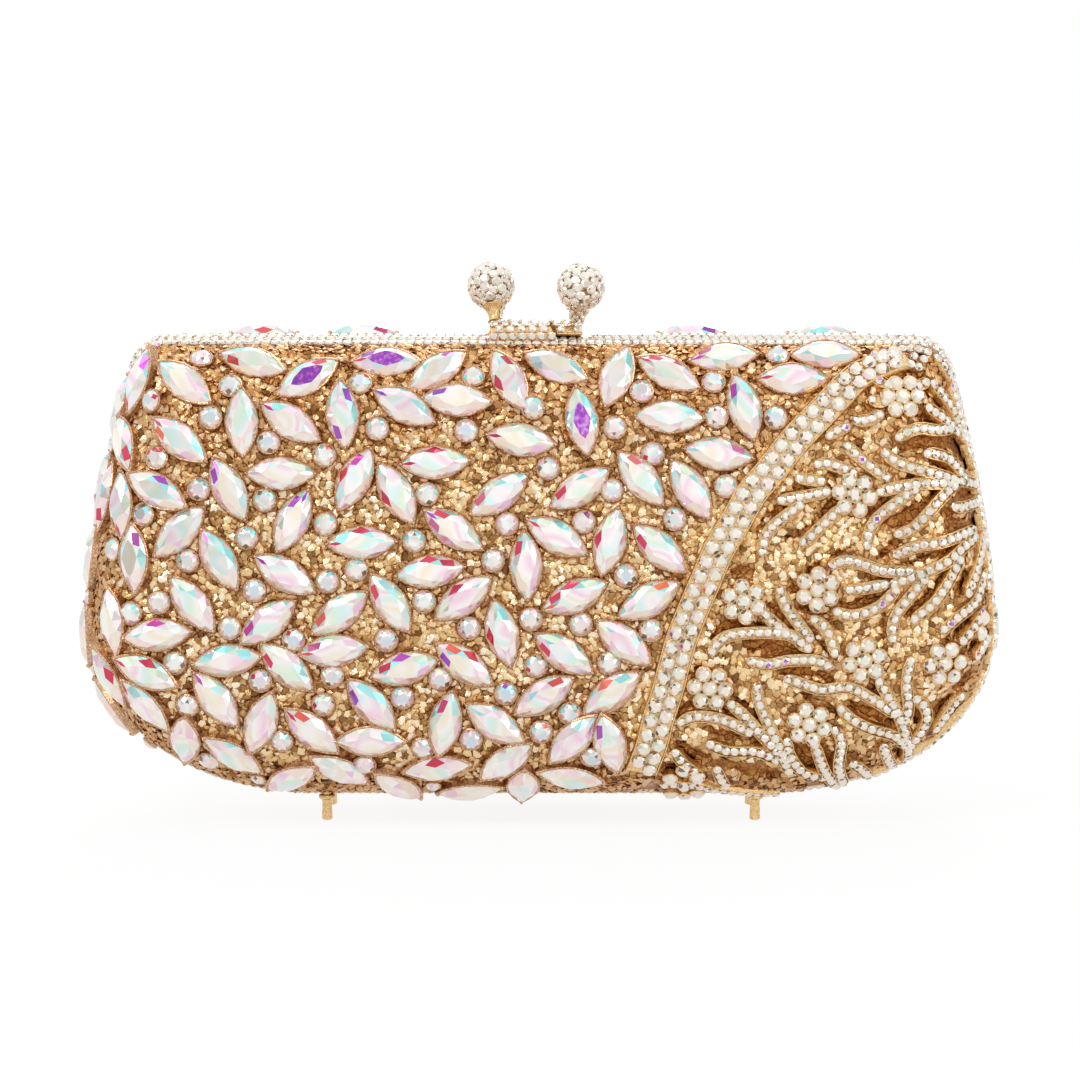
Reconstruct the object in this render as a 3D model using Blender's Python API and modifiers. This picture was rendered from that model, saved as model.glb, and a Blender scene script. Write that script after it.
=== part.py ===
# Crystal evening clutch: two gold castings set with pointed crystals, hinged along the bottom and
# held shut by a kiss-lock clasp. Metres, +Z up, X along the width, the front of the bag faces -Y.
# The origin lies on the ground under the middle of the bag. Both halves are the same casting: the
# back one is the front one turned half a turn about Z.
import math

import bmesh
import bpy
from mathutils import Matrix, Vector
from mathutils.bvhtree import BVHTree

# Case
CASE_WIDTH = 0.2066
CASE_HEIGHT = 0.1052
CASE_LIFT = 0.0046
HALF_DEPTH = 0.0288
CASTING_STEP = 0.0012
CASTING_WALL = 0.0014
WIDEST_RISE = 0.0385
BOTTOM_FLAT = 0.0520
SIDE_TAPER = 0.0125
TOP_CORNER_RADIUS = 0.0090
SIDE_ROUNDING = 0.0160
TOP_ROUNDING = 0.0150
BOTTOM_ROUNDING = 0.0220
FACE_CROWN = 0.0010
TOP_LEAN = 0.0065
TAPER_POWER = 1.6
LEAN_POWER = 2.0
FACE_RING_SHARES = (0.62, 0.28)
LEAST_CORNER_SHARE = 0.33
FIT_GAP = 0.0003
OVERRUN = 0.0020

# Frame round the opening
FRAME_DEPTH = 0.0042
FRAME_BAND = 0.0048
FRAME_EDGE = 0.0003
FRAME_FALL = 0.0014
FRAME_ROUND_SHARES = ((0.0, 0.16), (0.3, 0.62))

# Lining and its slip pocket
LINING_WALL = 0.0010
LINING_GAP = 0.0004
POCKET_WIDTH = 0.0900
POCKET_HEIGHT = 0.0420
POCKET_WALL = 0.0008
POCKET_RISE = 0.0240
POCKET_EDGE = 0.0002

# Hinge along the bottom seam
HINGE_LENGTH = 0.0780
HINGE_KNUCKLES = 6
BARREL_RADIUS = 0.0022
PIN_RADIUS = 0.0008
PIN_PLAY = 0.00015
PIN_HEAD_RADIUS = 0.0016
PIN_HEAD_LENGTH = 0.0009
AXIS_RISE = 0.0031
LEAF_THICKNESS = 0.0008
LEAF_REACH = 0.0070
SCREW_RADIUS = 0.0005
SCREW_HEAD_RADIUS = 0.0011
SCREW_HEAD_HEIGHT = 0.0006
SCREW_PLACE_SHARES = (-0.34, 0.0, 0.34)

# Feet
FOOT_RADIUS = 0.0012
FOOT_COLLAR_RADIUS = 0.0019
FOOT_COLLAR_HEIGHT = 0.0010
FOOT_TIP_CHAMFER = 0.0003
FOOT_SPREAD = 0.0974
FOOT_SETBACK = 0.0100
STUD_RADIUS = 0.0007
NUT_RADIUS = 0.0017
NUT_HEIGHT = 0.0012

# Clasp
CLASP_OFFSET = -0.0012
CLASP_HALF_LENGTH = 0.0106
CLASP_BAR_HEIGHT = 0.0032
SLIT_OFFSET = 0.0024
SLIT_SLANT_SHARE = 0.55
BALL_RADIUS = 0.0054
BALL_SPREAD = 0.0204
BALL_RISE = 0.0112
BALL_LEAN = 0.0042
NECK_FOOT_RADIUS = 0.0011
NECK_HEAD_RADIUS = 0.0024
NECK_FOOT_SPREAD = 0.0186
NECK_FOOT_LEAN = 0.0008

# Crystals and the pave band
GEM_LENGTH = 0.0144
GEM_WIDTH = 0.0066
GEM_PROUD = 0.0028
GEM_SINK = 0.0009
GEM_ROOM = 0.00005
GEM_TABLE_SHARE = 0.6
GEM_SHOULDER_SHARES = (0.42, 0.84)
GEM_DISC_SHARES = (-0.8, -0.4, 0.0, 0.4, 0.8)
BAND_TOP_WIDTH = 0.0070
BAND_FOOT_WIDTH = 0.0076
BAND_HEIGHT = 0.0011

# Round crystals, flowers and fronds
ROUND_WIDTH = 0.0043
ROUND_PROUD = 0.0020
FLOWER_WIDTH = 0.0098
FLOWER_PROUD = 0.0018
FROND_WIDTH = 0.0030
FROND_PROUD = 0.0012
FROND_TOP_SHARE = 0.8
FROND_END_SHARE = 0.6

# Counts
ARC_STEPS = 6
SIDE_STEPS = 3
CORNER_STEPS = 2
BOTTOM_STEPS = 1
TOP_STEPS = 2
ROUNDING_STEPS = 5
LINING_STEPS = 3
FINE = 4
SHARP_DEGREES = 35
ROUND_SIDES = 12
SMALL_SIDES = 12
BALL_SIDES = 12
BALL_RINGS = 8
BAR_STEPS = 8
BAND_STEPS = 2
ROUND_STUD_SIDES = 6
FLOWER_SIDES = 10
FROND_STEPS = 3

# The view of the photograph, which the places of the crystals are read in: the eye's distance, its
# height above the middle of the bag as a slope, and the bag's width and height in pixels
EYE_DISTANCE = 0.8500
EYE_SLOPE_DEGREES = 6.0
VIEW_RISE = 0.0631
VIEW_CENTRE_PIXEL = (541, 540)
EDGE_DEPTH = 0.0120
CASE_WIDTH_PIXELS = 902.9
CASE_HEIGHT_PIXELS = 459.8

# Pointed crystals: pixel across, pixel down, degrees that the long axis turns from level
GEM_PIXELS = (
    (252, 358, -15), (183, 380, -37), (307, 375, 30), (386, 358, 0), (437, 367, 33), (509, 377, -62),
    (556, 363, -22), (617, 373, 68), (669, 370, -26), (724, 353, 6), (826, 350, 0), (793, 376, 0),
    (745, 406, -74), (241, 421, 92), (290, 421, -32), (342, 413, -85), (404, 405, -28),
    (457, 398, -3), (521, 439, -8), (582, 420, -80), (670, 416, -2), (719, 453, -8), (177, 439, -38),
    (228, 489, -62), (280, 473, 0), (354, 479, 62), (396, 493, -60), (435, 462, 3), (499, 494, 35),
    (580, 488, 33), (641, 478, -50), (691, 489, -57), (154, 490, -28), (178, 532, 45),
    (218, 560, -60), (129, 558, -87), (292, 521, 63), (361, 543, 2), (453, 530, -34),
    (557, 537, -30), (610, 542, 76), (660, 549, -42), (284, 575, -31), (430, 572, 8),
    (526, 566, -87), (191, 605, -52), (339, 614, 37), (390, 604, -57), (463, 599, 37),
    (575, 597, 23), (649, 601, 30), (267, 623, 38), (156, 636, 6), (226, 662, 7), (286, 669, -43),
    (333, 652, 6), (404, 670, 15), (464, 666, -37), (502, 634, -76), (564, 655, -34),
    (624, 644, -39), (143, 675, -23), (141, 710, -48), (215, 701, -52), (260, 726, 70),
    (311, 734, -41), (371, 707, -48), (370, 745, 0), (445, 726, 78), (495, 726, -34),
    (544, 698, 33), (612, 695, 37), (573, 743, 47), (610, 748, -75), (182, 746, 85),
    (231, 761, -33), (339, 776, -28), (290, 785, 30), (437, 774, 8), (506, 767, 38),
    (398, 793, -35), (470, 798, 8), (523, 793, 85), (571, 784, -10), (132, 378, 73),
    (117, 442, -74), (115, 504, -88), (98, 495, 77), (106, 622, -82), (102, 680, -60),
)
# Middle line of the pave band, from the top corner to the bottom
BAND_PIXELS = (
    (915, 352), (888, 361), (860, 373), (840, 393), (817, 417), (793, 442), (773, 468), (752, 493),
    (736, 521), (719, 550), (706, 580), (694, 608), (682, 638), (674, 666), (667, 693), (658, 720),
    (652, 745), (641, 774),
)

# Centres of the round crystals and of the flowers
ROUND_PIXELS = (
    (473, 373), (642, 389), (714, 379), (778, 351), (466, 430), (377, 428), (615, 427), (717, 416),
    (776, 417), (548, 468), (533, 407), (653, 453), (726, 486), (675, 519), (198, 489), (140, 514),
    (264, 500), (108, 549), (246, 538), (187, 561), (325, 524), (254, 591), (327, 582), (356, 570),
    (158, 603), (128, 614), (229, 629), (293, 641), (386, 641), (174, 664), (260, 682), (332, 677),
    (186, 708), (323, 706), (402, 699), (281, 744), (207, 765), (364, 769), (427, 494), (507, 524),
    (584, 522), (612, 490), (414, 541), (493, 561), (626, 576), (424, 602), (469, 629), (531, 620),
    (581, 625), (651, 631), (536, 667), (609, 664), (440, 680), (506, 695), (570, 715), (541, 734),
    (471, 742), (423, 751), (592, 761), (201, 354), (230, 383), (210, 417), (268, 442), (324, 455),
    (360, 380), (154, 457), (147, 400),
)
FLOWER_PIXELS = (
    (904, 395), (855, 495), (744, 602), (818, 590), (865, 661), (947, 665), (710, 689), (810, 726),
)
# Middle lines of the main fronds, each from its tip or its root
FROND_PIXELS = (
    ((932, 380), (944, 395), (955, 411), (962, 432), (970, 444), (975, 456)),
    ((896, 440), (920, 428), (937, 430), (954, 428)),
    ((882, 450), (897, 462), (915, 468), (931, 472), (958, 480)),
    ((844, 443), (858, 456), (873, 468), (890, 480)),
    ((777, 501), (795, 498), (812, 495), (831, 491)),
    ((763, 557), (769, 531), (783, 518), (804, 503)),
    ((799, 543), (823, 525), (843, 506)),
    ((828, 568), (845, 561), (865, 565), (883, 571), (914, 572)),
    ((868, 550), (868, 537), (875, 521), (891, 507), (919, 487)),
    ((894, 535), (911, 530), (927, 515), (947, 493)),
    ((978, 536), (963, 549), (948, 562), (924, 573), (889, 586)),
    ((985, 530), (984, 545), (978, 572), (968, 597)),
    ((713, 649), (726, 637), (753, 633), (789, 635), (812, 651)),
    ((747, 660), (767, 665), (788, 661), (817, 661), (832, 669)),
    ((757, 683), (759, 702), (769, 725), (778, 745), (788, 765)),
    ((706, 743), (727, 752), (757, 753)),
    ((677, 725), (694, 717), (722, 720)),
    ((673, 750), (683, 764), (704, 779)),
    ((838, 706), (852, 720), (872, 730), (895, 737)),
    ((784, 678), (802, 684), (822, 690), (849, 688), (873, 700), (898, 717)),
    ((909, 750), (900, 718), (889, 698), (877, 678)),
    ((914, 697), (926, 709), (926, 726)),
    ((814, 742), (819, 757), (827, 776), (842, 793)),
    ((833, 728), (842, 741), (839, 768), (845, 788)),
    ((851, 763), (867, 775), (871, 789)),
    ((883, 745), (890, 763), (901, 777)),
    ((833, 610), (852, 616), (879, 607), (899, 587)),
    ((928, 577), (912, 595), (895, 618), (893, 644)),
    ((941, 633), (956, 620), (976, 603)),
    ((965, 694), (952, 709), (935, 733)),
    ((811, 617), (826, 629), (835, 652)),
)

# Heights and depths that several pieces share
WIDEST_HEIGHT = CASE_LIFT + WIDEST_RISE
TOP_HEIGHT = CASE_LIFT + CASE_HEIGHT
FRAME_INNER = FIT_GAP / 2
FRAME_OUTER = FRAME_INNER + FRAME_DEPTH
RIM_DEPTH = FRAME_OUTER + FIT_GAP
AXIS_HEIGHT = CASE_LIFT + AXIS_RISE
LINING_OFFSET = CASTING_STEP + CASTING_WALL + LINING_GAP
LEAF_BOTTOM = CASE_LIFT + FRAME_BAND + FIT_GAP
LEAF_TOP = LEAF_BOTTOM + LEAF_THICKNESS
GROOVE_HALF_WIDTH = BARREL_RADIUS + FIT_GAP
CLASP_BAR_BOTTOM = TOP_HEIGHT + FIT_GAP
CLASP_BAR_TOP = CLASP_BAR_BOTTOM + CLASP_BAR_HEIGHT

parts = None
cutters = None


def clear_scene():
    for old in list(bpy.data.objects):
        bpy.data.objects.remove(old, do_unlink=True)


def make_collection(name):
    collection = bpy.data.collections.new(name)
    bpy.context.scene.collection.children.link(collection)
    return collection


def make_material(name, colour, metallic, roughness):
    material = bpy.data.materials.new(name)
    material.use_nodes = True
    shader = material.node_tree.nodes["Principled BSDF"]
    shader.inputs["Base Color"].default_value = (*colour, 1.0)
    shader.inputs["Metallic"].default_value = metallic
    shader.inputs["Roughness"].default_value = roughness
    return material


def mesh_from(name, points, faces):
    mesh = bpy.data.meshes.new(name)
    mesh.from_pydata([tuple(point) for point in points], [], faces)
    mesh.validate()
    return mesh


def face_outwards(mesh):
    shape = bmesh.new()
    shape.from_mesh(mesh)
    bmesh.ops.recalc_face_normals(shape, faces=shape.faces)
    shape.to_mesh(mesh)
    shape.free()


def flatten_faces(mesh):
    """Split faces into triangles, so that a Boolean meets only flat ones."""
    shape = bmesh.new()
    shape.from_mesh(mesh)
    bmesh.ops.triangulate(shape, faces=shape.faces)
    shape.to_mesh(mesh)
    shape.free()


def add_piece(name, mesh, half, material, location=(0.0, 0.0, 0.0), collection=None):
    """Link a mesh as an object of one half, whose empty stands on the hinge axis."""
    piece = bpy.data.objects.new(name, mesh)
    (collection or parts).objects.link(piece)
    piece.parent = half
    piece.location = Vector(location) - Vector((0.0, 0.0, AXIS_HEIGHT))
    if material:
        mesh.materials.clear()
        mesh.materials.append(material)
    return piece


def add_cutter(name, mesh, half, location=(0.0, 0.0, 0.0)):
    cutter = add_piece(name, mesh, half, None, location, cutters)
    cutter.hide_render = True
    cutter.display_type = "WIRE"
    return cutter


def boolean(piece, other, operation):
    step = piece.modifiers.new(other.name, "BOOLEAN")
    step.operation = operation
    step.solver = "EXACT"
    step.object = other


def smooth(mesh):
    mesh.shade_smooth()
    mesh.set_sharp_from_angle(angle=math.radians(SHARP_DEGREES))


def cylinder_mesh(name, radius, length, sides, axis="Z", top_radius=None):
    """A cylinder or cone whose first end is at the origin and which runs along the axis."""
    shape = bmesh.new()
    bmesh.ops.create_cone(
        shape, cap_ends=True, segments=sides, radius1=radius,
        radius2=radius if top_radius is None else top_radius, depth=length)
    bmesh.ops.translate(shape, verts=shape.verts, vec=(0.0, 0.0, length / 2))
    if axis == "X":
        bmesh.ops.rotate(shape, verts=shape.verts, matrix=Matrix.Rotation(math.pi / 2, 3, "Y"))
    mesh = bpy.data.meshes.new(name)
    shape.to_mesh(mesh)
    shape.free()
    smooth(mesh)
    return mesh


def box_mesh(name, low, high):
    shape = bmesh.new()
    bmesh.ops.create_cube(shape, size=1.0)
    size = Vector(high) - Vector(low)
    bmesh.ops.scale(shape, verts=shape.verts, vec=size)
    bmesh.ops.translate(shape, verts=shape.verts, vec=(Vector(low) + Vector(high)) / 2)
    mesh = bpy.data.meshes.new(name)
    shape.to_mesh(mesh)
    shape.free()
    return mesh


def turned_mesh(name, profile, sides):
    """A turned solid about Z from (radius, height) points that run down its outer side."""
    rings = [[(radius * math.cos(2 * math.pi * k / sides), radius * math.sin(2 * math.pi * k / sides),
               height) for k in range(sides)] for radius, height in profile]
    return loft_mesh(name, rings)


def loft_mesh(name, rings):
    """A closed solid through rings of equal point counts, with a flat cap on each end."""
    count = len(rings[0])
    points = [point for ring in rings for point in ring]
    faces = []
    for row in range(len(rings) - 1):
        for k in range(count):
            after = (k + 1) % count
            faces.append((row * count + k, row * count + after,
                          (row + 1) * count + after, (row + 1) * count + k))
    faces.append(tuple(range(count)))
    faces.append(tuple(range((len(rings) - 1) * count, len(rings) * count)))
    mesh = mesh_from(name, points, faces)
    face_outwards(mesh)
    smooth(mesh)
    return mesh


def case_outline(offset, detail=1):
    """Front view of the case, drawn in by an offset: flat bottom, wide lower corners, sides that
    lean in, small upper corners and a level top. Points run round from the bottom middle."""
    half = CASE_WIDTH / 2 - offset
    low = CASE_LIFT + offset
    top = TOP_HEIGHT - offset
    radius = max(TOP_CORNER_RADIUS - offset, TOP_CORNER_RADIUS * LEAST_CORNER_SHARE)

    def side(height):
        climb = max(height - WIDEST_HEIGHT, 0.0) / (TOP_HEIGHT - WIDEST_HEIGHT)
        return half - SIDE_TAPER * climb ** TAPER_POWER

    right = []
    steps = BOTTOM_STEPS * detail
    right += [(BOTTOM_FLAT * k / steps, low) for k in range(steps)]
    steps = ARC_STEPS * detail
    for k in range(steps):
        turn = math.pi / 2 * k / steps
        right.append((BOTTOM_FLAT + (half - BOTTOM_FLAT) * math.sin(turn),
                      WIDEST_HEIGHT - (WIDEST_HEIGHT - low) * math.cos(turn)))
    steps = SIDE_STEPS * detail
    shoulder = top - radius
    for k in range(steps):
        height = WIDEST_HEIGHT + (shoulder - WIDEST_HEIGHT) * k / steps
        right.append((side(height), height))
    steps = CORNER_STEPS * detail
    corner = side(shoulder) - radius
    for k in range(steps):
        turn = math.pi / 2 * k / steps
        right.append((corner + radius * math.cos(turn), shoulder + radius * math.sin(turn)))
    steps = TOP_STEPS * detail
    right += [(corner * (1 - k / steps), top) for k in range(steps + 1)]
    left = [(-x, z) for x, z in reversed(right[1:-1])]
    return right + left


def case_ring(offset, share, detail=1):
    """One loop of the front half's skin: share 0 is its rim at the frame, 1 the edge of its face."""
    turn = share * math.pi / 2
    draw = 1 - math.cos(turn)
    half = CASE_WIDTH / 2 - offset
    side_draw = draw * (SIDE_ROUNDING - offset) / half
    top_draw = draw * (TOP_ROUNDING - offset) / (TOP_HEIGHT - offset - WIDEST_HEIGHT)
    low_draw = draw * (BOTTOM_ROUNDING - offset) / (WIDEST_HEIGHT - CASE_LIFT - offset)
    ring = []
    for x, z in case_outline(offset, detail):
        rise = z - WIDEST_HEIGHT
        height = WIDEST_HEIGHT + rise * (1 - (top_draw if rise > 0 else low_draw))
        depth = RIM_DEPTH + (face_depth(height) - offset - RIM_DEPTH) * math.sin(turn)
        ring.append(Vector((x * (1 - side_draw), -depth, height)))
    return ring


def face_depth(height):
    climb = max(height - WIDEST_HEIGHT, 0.0) / (TOP_HEIGHT - WIDEST_HEIGHT)
    return HALF_DEPTH - FACE_CROWN - TOP_LEAN * climb ** LEAN_POWER


def case_skin(offset, steps, detail=1):
    """Points and faces of the open bowl from the rim to the middle of the face."""
    rings = [case_ring(offset, k / (steps * detail), detail) for k in range(steps * detail + 1)]
    edge = rings[-1]
    centre = Vector((0.0, 0.0, WIDEST_HEIGHT))
    for share in FACE_RING_SHARES:
        ring = []
        for point in edge:
            x = point.x * share
            z = centre.z + (point.z - centre.z) * share
            crown = FACE_CROWN * (1 - share * share)
            ring.append(Vector((x, -(face_depth(z) - offset + crown), z)))
        rings.append(ring)
    count = len(edge)
    points = [point for ring in rings for point in ring]
    points.append(Vector((0.0, -(face_depth(centre.z) - offset + FACE_CROWN), centre.z)))
    faces = []
    for row in range(len(rings) - 1):
        for k in range(count):
            after = (k + 1) % count
            faces.append((row * count + k, row * count + after,
                          (row + 1) * count + after, (row + 1) * count + k))
    last = (len(rings) - 1) * count
    for k in range(count):
        faces.append((last + k, last + (k + 1) % count, len(points) - 1))
    return points, faces


def view_ray(across, down):
    """The eye and the direction in which it sees a pixel of the photograph."""
    slope = math.radians(EYE_SLOPE_DEGREES)
    forward = Vector((0.0, math.cos(slope), -math.sin(slope)))
    upward = Vector((0.0, math.sin(slope), math.cos(slope)))
    target = Vector((0.0, 0.0, VIEW_RISE))
    eye = target - forward * EYE_DISTANCE
    right = (across - VIEW_CENTRE_PIXEL[0]) * CASE_WIDTH / CASE_WIDTH_PIXELS
    up = (VIEW_CENTRE_PIXEL[1] - down) * CASE_HEIGHT / CASE_HEIGHT_PIXELS
    return eye, (forward * EYE_DISTANCE + upward * up + Vector((right, 0.0, 0.0))).normalized()


def raised_skin(height):
    """The casting's skin moved out by a height, finely divided, for rays to meet."""
    return BVHTree.FromPolygons(*case_skin(CASTING_STEP - height, ROUNDING_STEPS, FINE))


def seat_under(skin, height, across, down):
    """Where the thing of this height that the eye sees at a pixel stands on the casting, and the
    outward normal there. A pixel past the edge goes to the nearest place on the edge."""
    eye, direction = view_ray(across, down)
    place, normal, _, _ = skin.ray_cast(eye, direction)
    if place is None:
        beside = eye + direction * ((-EDGE_DEPTH - eye.y) / direction.y)
        place, normal, _, _ = skin.find_nearest(beside)
    if normal.y > 0:
        normal = -normal
    return place - normal * height, normal


def gem_axes(normal, degrees):
    """Long and short axes on the skin of a crystal that the eye sees turned by degrees."""
    turn = math.radians(degrees)
    along = Vector((math.cos(turn), 0.0, math.sin(turn)))
    along.y = -along.dot(normal) / normal.y
    along.normalize()
    return along, normal.cross(along)


def gem_discs(place, along):
    """Discs that fill a crystal's outline, for finding room beside its neighbours."""
    discs = []
    for share in GEM_DISC_SHARES:
        reach = GEM_WIDTH / 2 * (1 - share * share)
        discs.append((place + along * (GEM_LENGTH / 2 * share), reach))
    return discs


def has_room(discs, taken):
    for centre, reach in discs:
        for other, other_reach in taken:
            if (centre - other).length < reach + other_reach + GEM_ROOM:
                return False
    return True


def band_path():
    """Places, outward normals and half widths along the pave band."""
    skin = raised_skin(BAND_HEIGHT)
    spans = len(BAND_PIXELS) - 1
    path = []
    for k in range(spans * BAND_STEPS + 1):
        span = min(k // BAND_STEPS, spans - 1)
        share = k / BAND_STEPS - span
        start, end = BAND_PIXELS[span], BAND_PIXELS[span + 1]
        across = start[0] + (end[0] - start[0]) * share
        down = start[1] + (end[1] - start[1]) * share
        place, normal = seat_under(skin, BAND_HEIGHT, across, down)
        along = k / (spans * BAND_STEPS)
        width = BAND_TOP_WIDTH + (BAND_FOOT_WIDTH - BAND_TOP_WIDTH) * along
        path.append((place, normal, width / 2))
    return path


def add_loft(points, faces, rings):
    """A closed solid through rings of points, added to the points and faces of a mesh."""
    start = len(points)
    count = len(rings[0])
    points += [point for ring in rings for point in ring]
    for row in range(len(rings) - 1):
        near = start + row * count
        for k in range(count):
            after = (k + 1) % count
            faces.append((near + k, near + after, near + count + after, near + count + k))
    faces.append(tuple(start + k for k in reversed(range(count))))
    faces.append(tuple(len(points) - count + k for k in range(count)))


def stud_rings(place, axes, outline, proud):
    """A stone's outline at its foot, sunk in the casting's wall, and at its smaller table."""
    along, beside, outward = axes
    rings = []
    for share, height in ((1.0, -GEM_SINK), (GEM_TABLE_SHARE, proud)):
        rings.append([place + along * (u * share) + beside * (v * share) + outward * height
                      for u, v in outline])
    return rings


def round_outline(width, sides):
    turns = [2 * math.pi * k / sides for k in range(sides)]
    return [(width / 2 * math.cos(turn), width / 2 * math.sin(turn)) for turn in turns]


def add_gems(points, faces, taken):
    """Every pointed crystal that has room."""
    skin = raised_skin(GEM_PROUD)
    tip_share, side_share = GEM_SHOULDER_SHARES
    corners = ((1, 0), (tip_share, side_share), (-tip_share, side_share),
               (-1, 0), (-tip_share, -side_share), (tip_share, -side_share))
    outline = [(u * GEM_LENGTH / 2, v * GEM_WIDTH / 2) for u, v in corners]
    for across, down, degrees in GEM_PIXELS:
        place, outward = seat_under(skin, GEM_PROUD, across, down)
        along, beside = gem_axes(outward, degrees)
        discs = gem_discs(place, along)
        if has_room(discs, taken):
            taken += discs
            add_loft(points, faces, stud_rings(place, (along, beside, outward), outline, GEM_PROUD))


def add_round_studs(points, faces, taken, pixels, width, proud, sides):
    """Every round crystal or flower that has room."""
    skin = raised_skin(proud)
    outline = round_outline(width, sides)
    for across, down in pixels:
        place, outward = seat_under(skin, proud, across, down)
        along, beside = gem_axes(outward, 0.0)
        discs = [(place, width / 2)]
        if has_room(discs, taken):
            taken += discs
            add_loft(points, faces, stud_rings(place, (along, beside, outward), outline, proud))


def frond_run(skin, pixels, taken):
    """The first stretch of a frond that has room beside what is there, and the discs it takes."""
    run = []
    discs = []
    for k, (across, down) in enumerate(pixels):
        spots = []
        if run:
            last_across, last_down = pixels[k - 1]
            for step in range(1, FROND_STEPS):
                share = step / FROND_STEPS
                place, _ = seat_under(skin, FROND_PROUD, last_across + (across - last_across) * share,
                                      last_down + (down - last_down) * share)
                spots.append(place)
        place, outward = seat_under(skin, FROND_PROUD, across, down)
        fresh = [(spot, FROND_WIDTH / 2) for spot in spots + [place]]
        if has_room(fresh, taken):
            run.append((place, outward))
            discs += fresh
        elif len(run) > 1:
            break
        else:
            run = []
            discs = []
    return run, discs


def add_fronds(points, faces, taken):
    """The main fronds, as low ribs that narrow towards their ends."""
    skin = raised_skin(FROND_PROUD)
    for pixels in FROND_PIXELS:
        run, discs = frond_run(skin, pixels, taken)
        if len(run) < 2:
            continue
        taken += discs
        rings = []
        for k, (place, outward) in enumerate(run):
            ahead = run[min(k + 1, len(run) - 1)][0] - run[max(k - 1, 0)][0]
            share = FROND_END_SHARE if k in (0, len(run) - 1) else 1.0
            beside = outward.cross(ahead).normalized() * (FROND_WIDTH / 2 * share)
            foot = place - outward * GEM_SINK
            top = place + outward * FROND_PROUD
            rings.append([foot - beside, foot + beside,
                          top + beside * FROND_TOP_SHARE, top - beside * FROND_TOP_SHARE])
        add_loft(points, faces, rings)


def relief_mesh(taken):
    """All that stands out from the casting, as solids whose feet sink into its wall."""
    points = []
    faces = []
    add_gems(points, faces, taken)
    add_round_studs(points, faces, taken, FLOWER_PIXELS, FLOWER_WIDTH, FLOWER_PROUD, FLOWER_SIDES)
    add_round_studs(points, faces, taken, ROUND_PIXELS, ROUND_WIDTH, ROUND_PROUD, ROUND_STUD_SIDES)
    add_fronds(points, faces, taken)
    mesh = mesh_from("relief", points, faces)
    face_outwards(mesh)
    flatten_faces(mesh)
    return mesh


def rim_box(name):
    """What lies behind the casting's rim, so that nothing on the casting reaches past it."""
    reach = CASE_WIDTH / 2 + GEM_LENGTH
    return box_mesh(name, (-reach, -RIM_DEPTH, -OVERRUN), (reach, RIM_DEPTH, TOP_HEIGHT + GEM_LENGTH))


def make_casting(side, half, gold, relief, bores):
    points, faces = case_skin(CASTING_STEP, ROUNDING_STEPS)
    mesh = mesh_from(side + "_casting", points, faces)
    smooth(mesh)
    casting = add_piece(side + "_casting", mesh, half, gold)
    wall = casting.modifiers.new("wall", "SOLIDIFY")
    wall.thickness = CASTING_WALL
    wall.offset = -1.0
    wall.use_even_offset = True
    casting.modifiers.new("flat_faces", "TRIANGULATE")
    boolean(casting, add_cutter(side + "_relief", relief, half), "UNION")
    rim = add_cutter(side + "_rim_cutter", rim_box("rim"), half)
    boolean(casting, rim, "DIFFERENCE")
    for cutter in bores:
        boolean(casting, cutter, "DIFFERENCE")
    return casting


def make_lining(side, half, suede, bores):
    points, faces = case_skin(LINING_OFFSET, LINING_STEPS)
    mesh = mesh_from(side + "_lining", points, faces)
    smooth(mesh)
    lining = add_piece(side + "_lining", mesh, half, suede)
    wall = lining.modifiers.new("wall", "SOLIDIFY")
    wall.thickness = LINING_WALL
    wall.offset = -1.0
    wall.use_even_offset = True
    for cutter in bores:
        boolean(lining, cutter, "DIFFERENCE")
    return lining


def make_frame(side, half, gold, screw_cutters):
    """The band round the opening, rounded down to the casting and grooved for the hinge."""
    section = [(FRAME_EDGE, FRAME_INNER)]
    section += [(FRAME_FALL * fall, FRAME_INNER + FRAME_DEPTH * reach)
                for fall, reach in FRAME_ROUND_SHARES]
    section += [(FRAME_FALL, FRAME_OUTER), (FRAME_BAND, FRAME_OUTER), (FRAME_BAND, FRAME_INNER)]
    loops = [[Vector((x, -depth, z)) for x, z in case_outline(offset)] for offset, depth in section]
    count = len(loops[0])
    points = [point for loop in loops for point in loop]
    faces = []
    for row in range(len(loops)):
        under = (row + 1) % len(loops)
        for k in range(count):
            after = (k + 1) % count
            faces.append((row * count + k, row * count + after,
                          under * count + after, under * count + k))
    mesh = mesh_from(side + "_frame", points, faces)
    face_outwards(mesh)
    smooth(mesh)
    frame = add_piece(side + "_frame", mesh, half, gold)
    reach = CASE_WIDTH / 2
    groove = box_mesh(side + "_groove_cutter", (-reach, -GROOVE_HALF_WIDTH, -OVERRUN),
                      (reach, GROOVE_HALF_WIDTH, AXIS_HEIGHT))
    boolean(frame, add_cutter(side + "_groove_cutter", groove, half), "DIFFERENCE")
    length = HINGE_LENGTH + 2 * (PIN_HEAD_LENGTH + FIT_GAP)
    barrel = cylinder_mesh(side + "_barrel_cutter", GROOVE_HALF_WIDTH, length, ROUND_SIDES, "X")
    place = (-length / 2, 0.0, AXIS_HEIGHT)
    boolean(frame, add_cutter(side + "_barrel_cutter", barrel, half, place), "DIFFERENCE")
    for cutter in screw_cutters:
        boolean(frame, cutter, "DIFFERENCE")
    return frame


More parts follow.
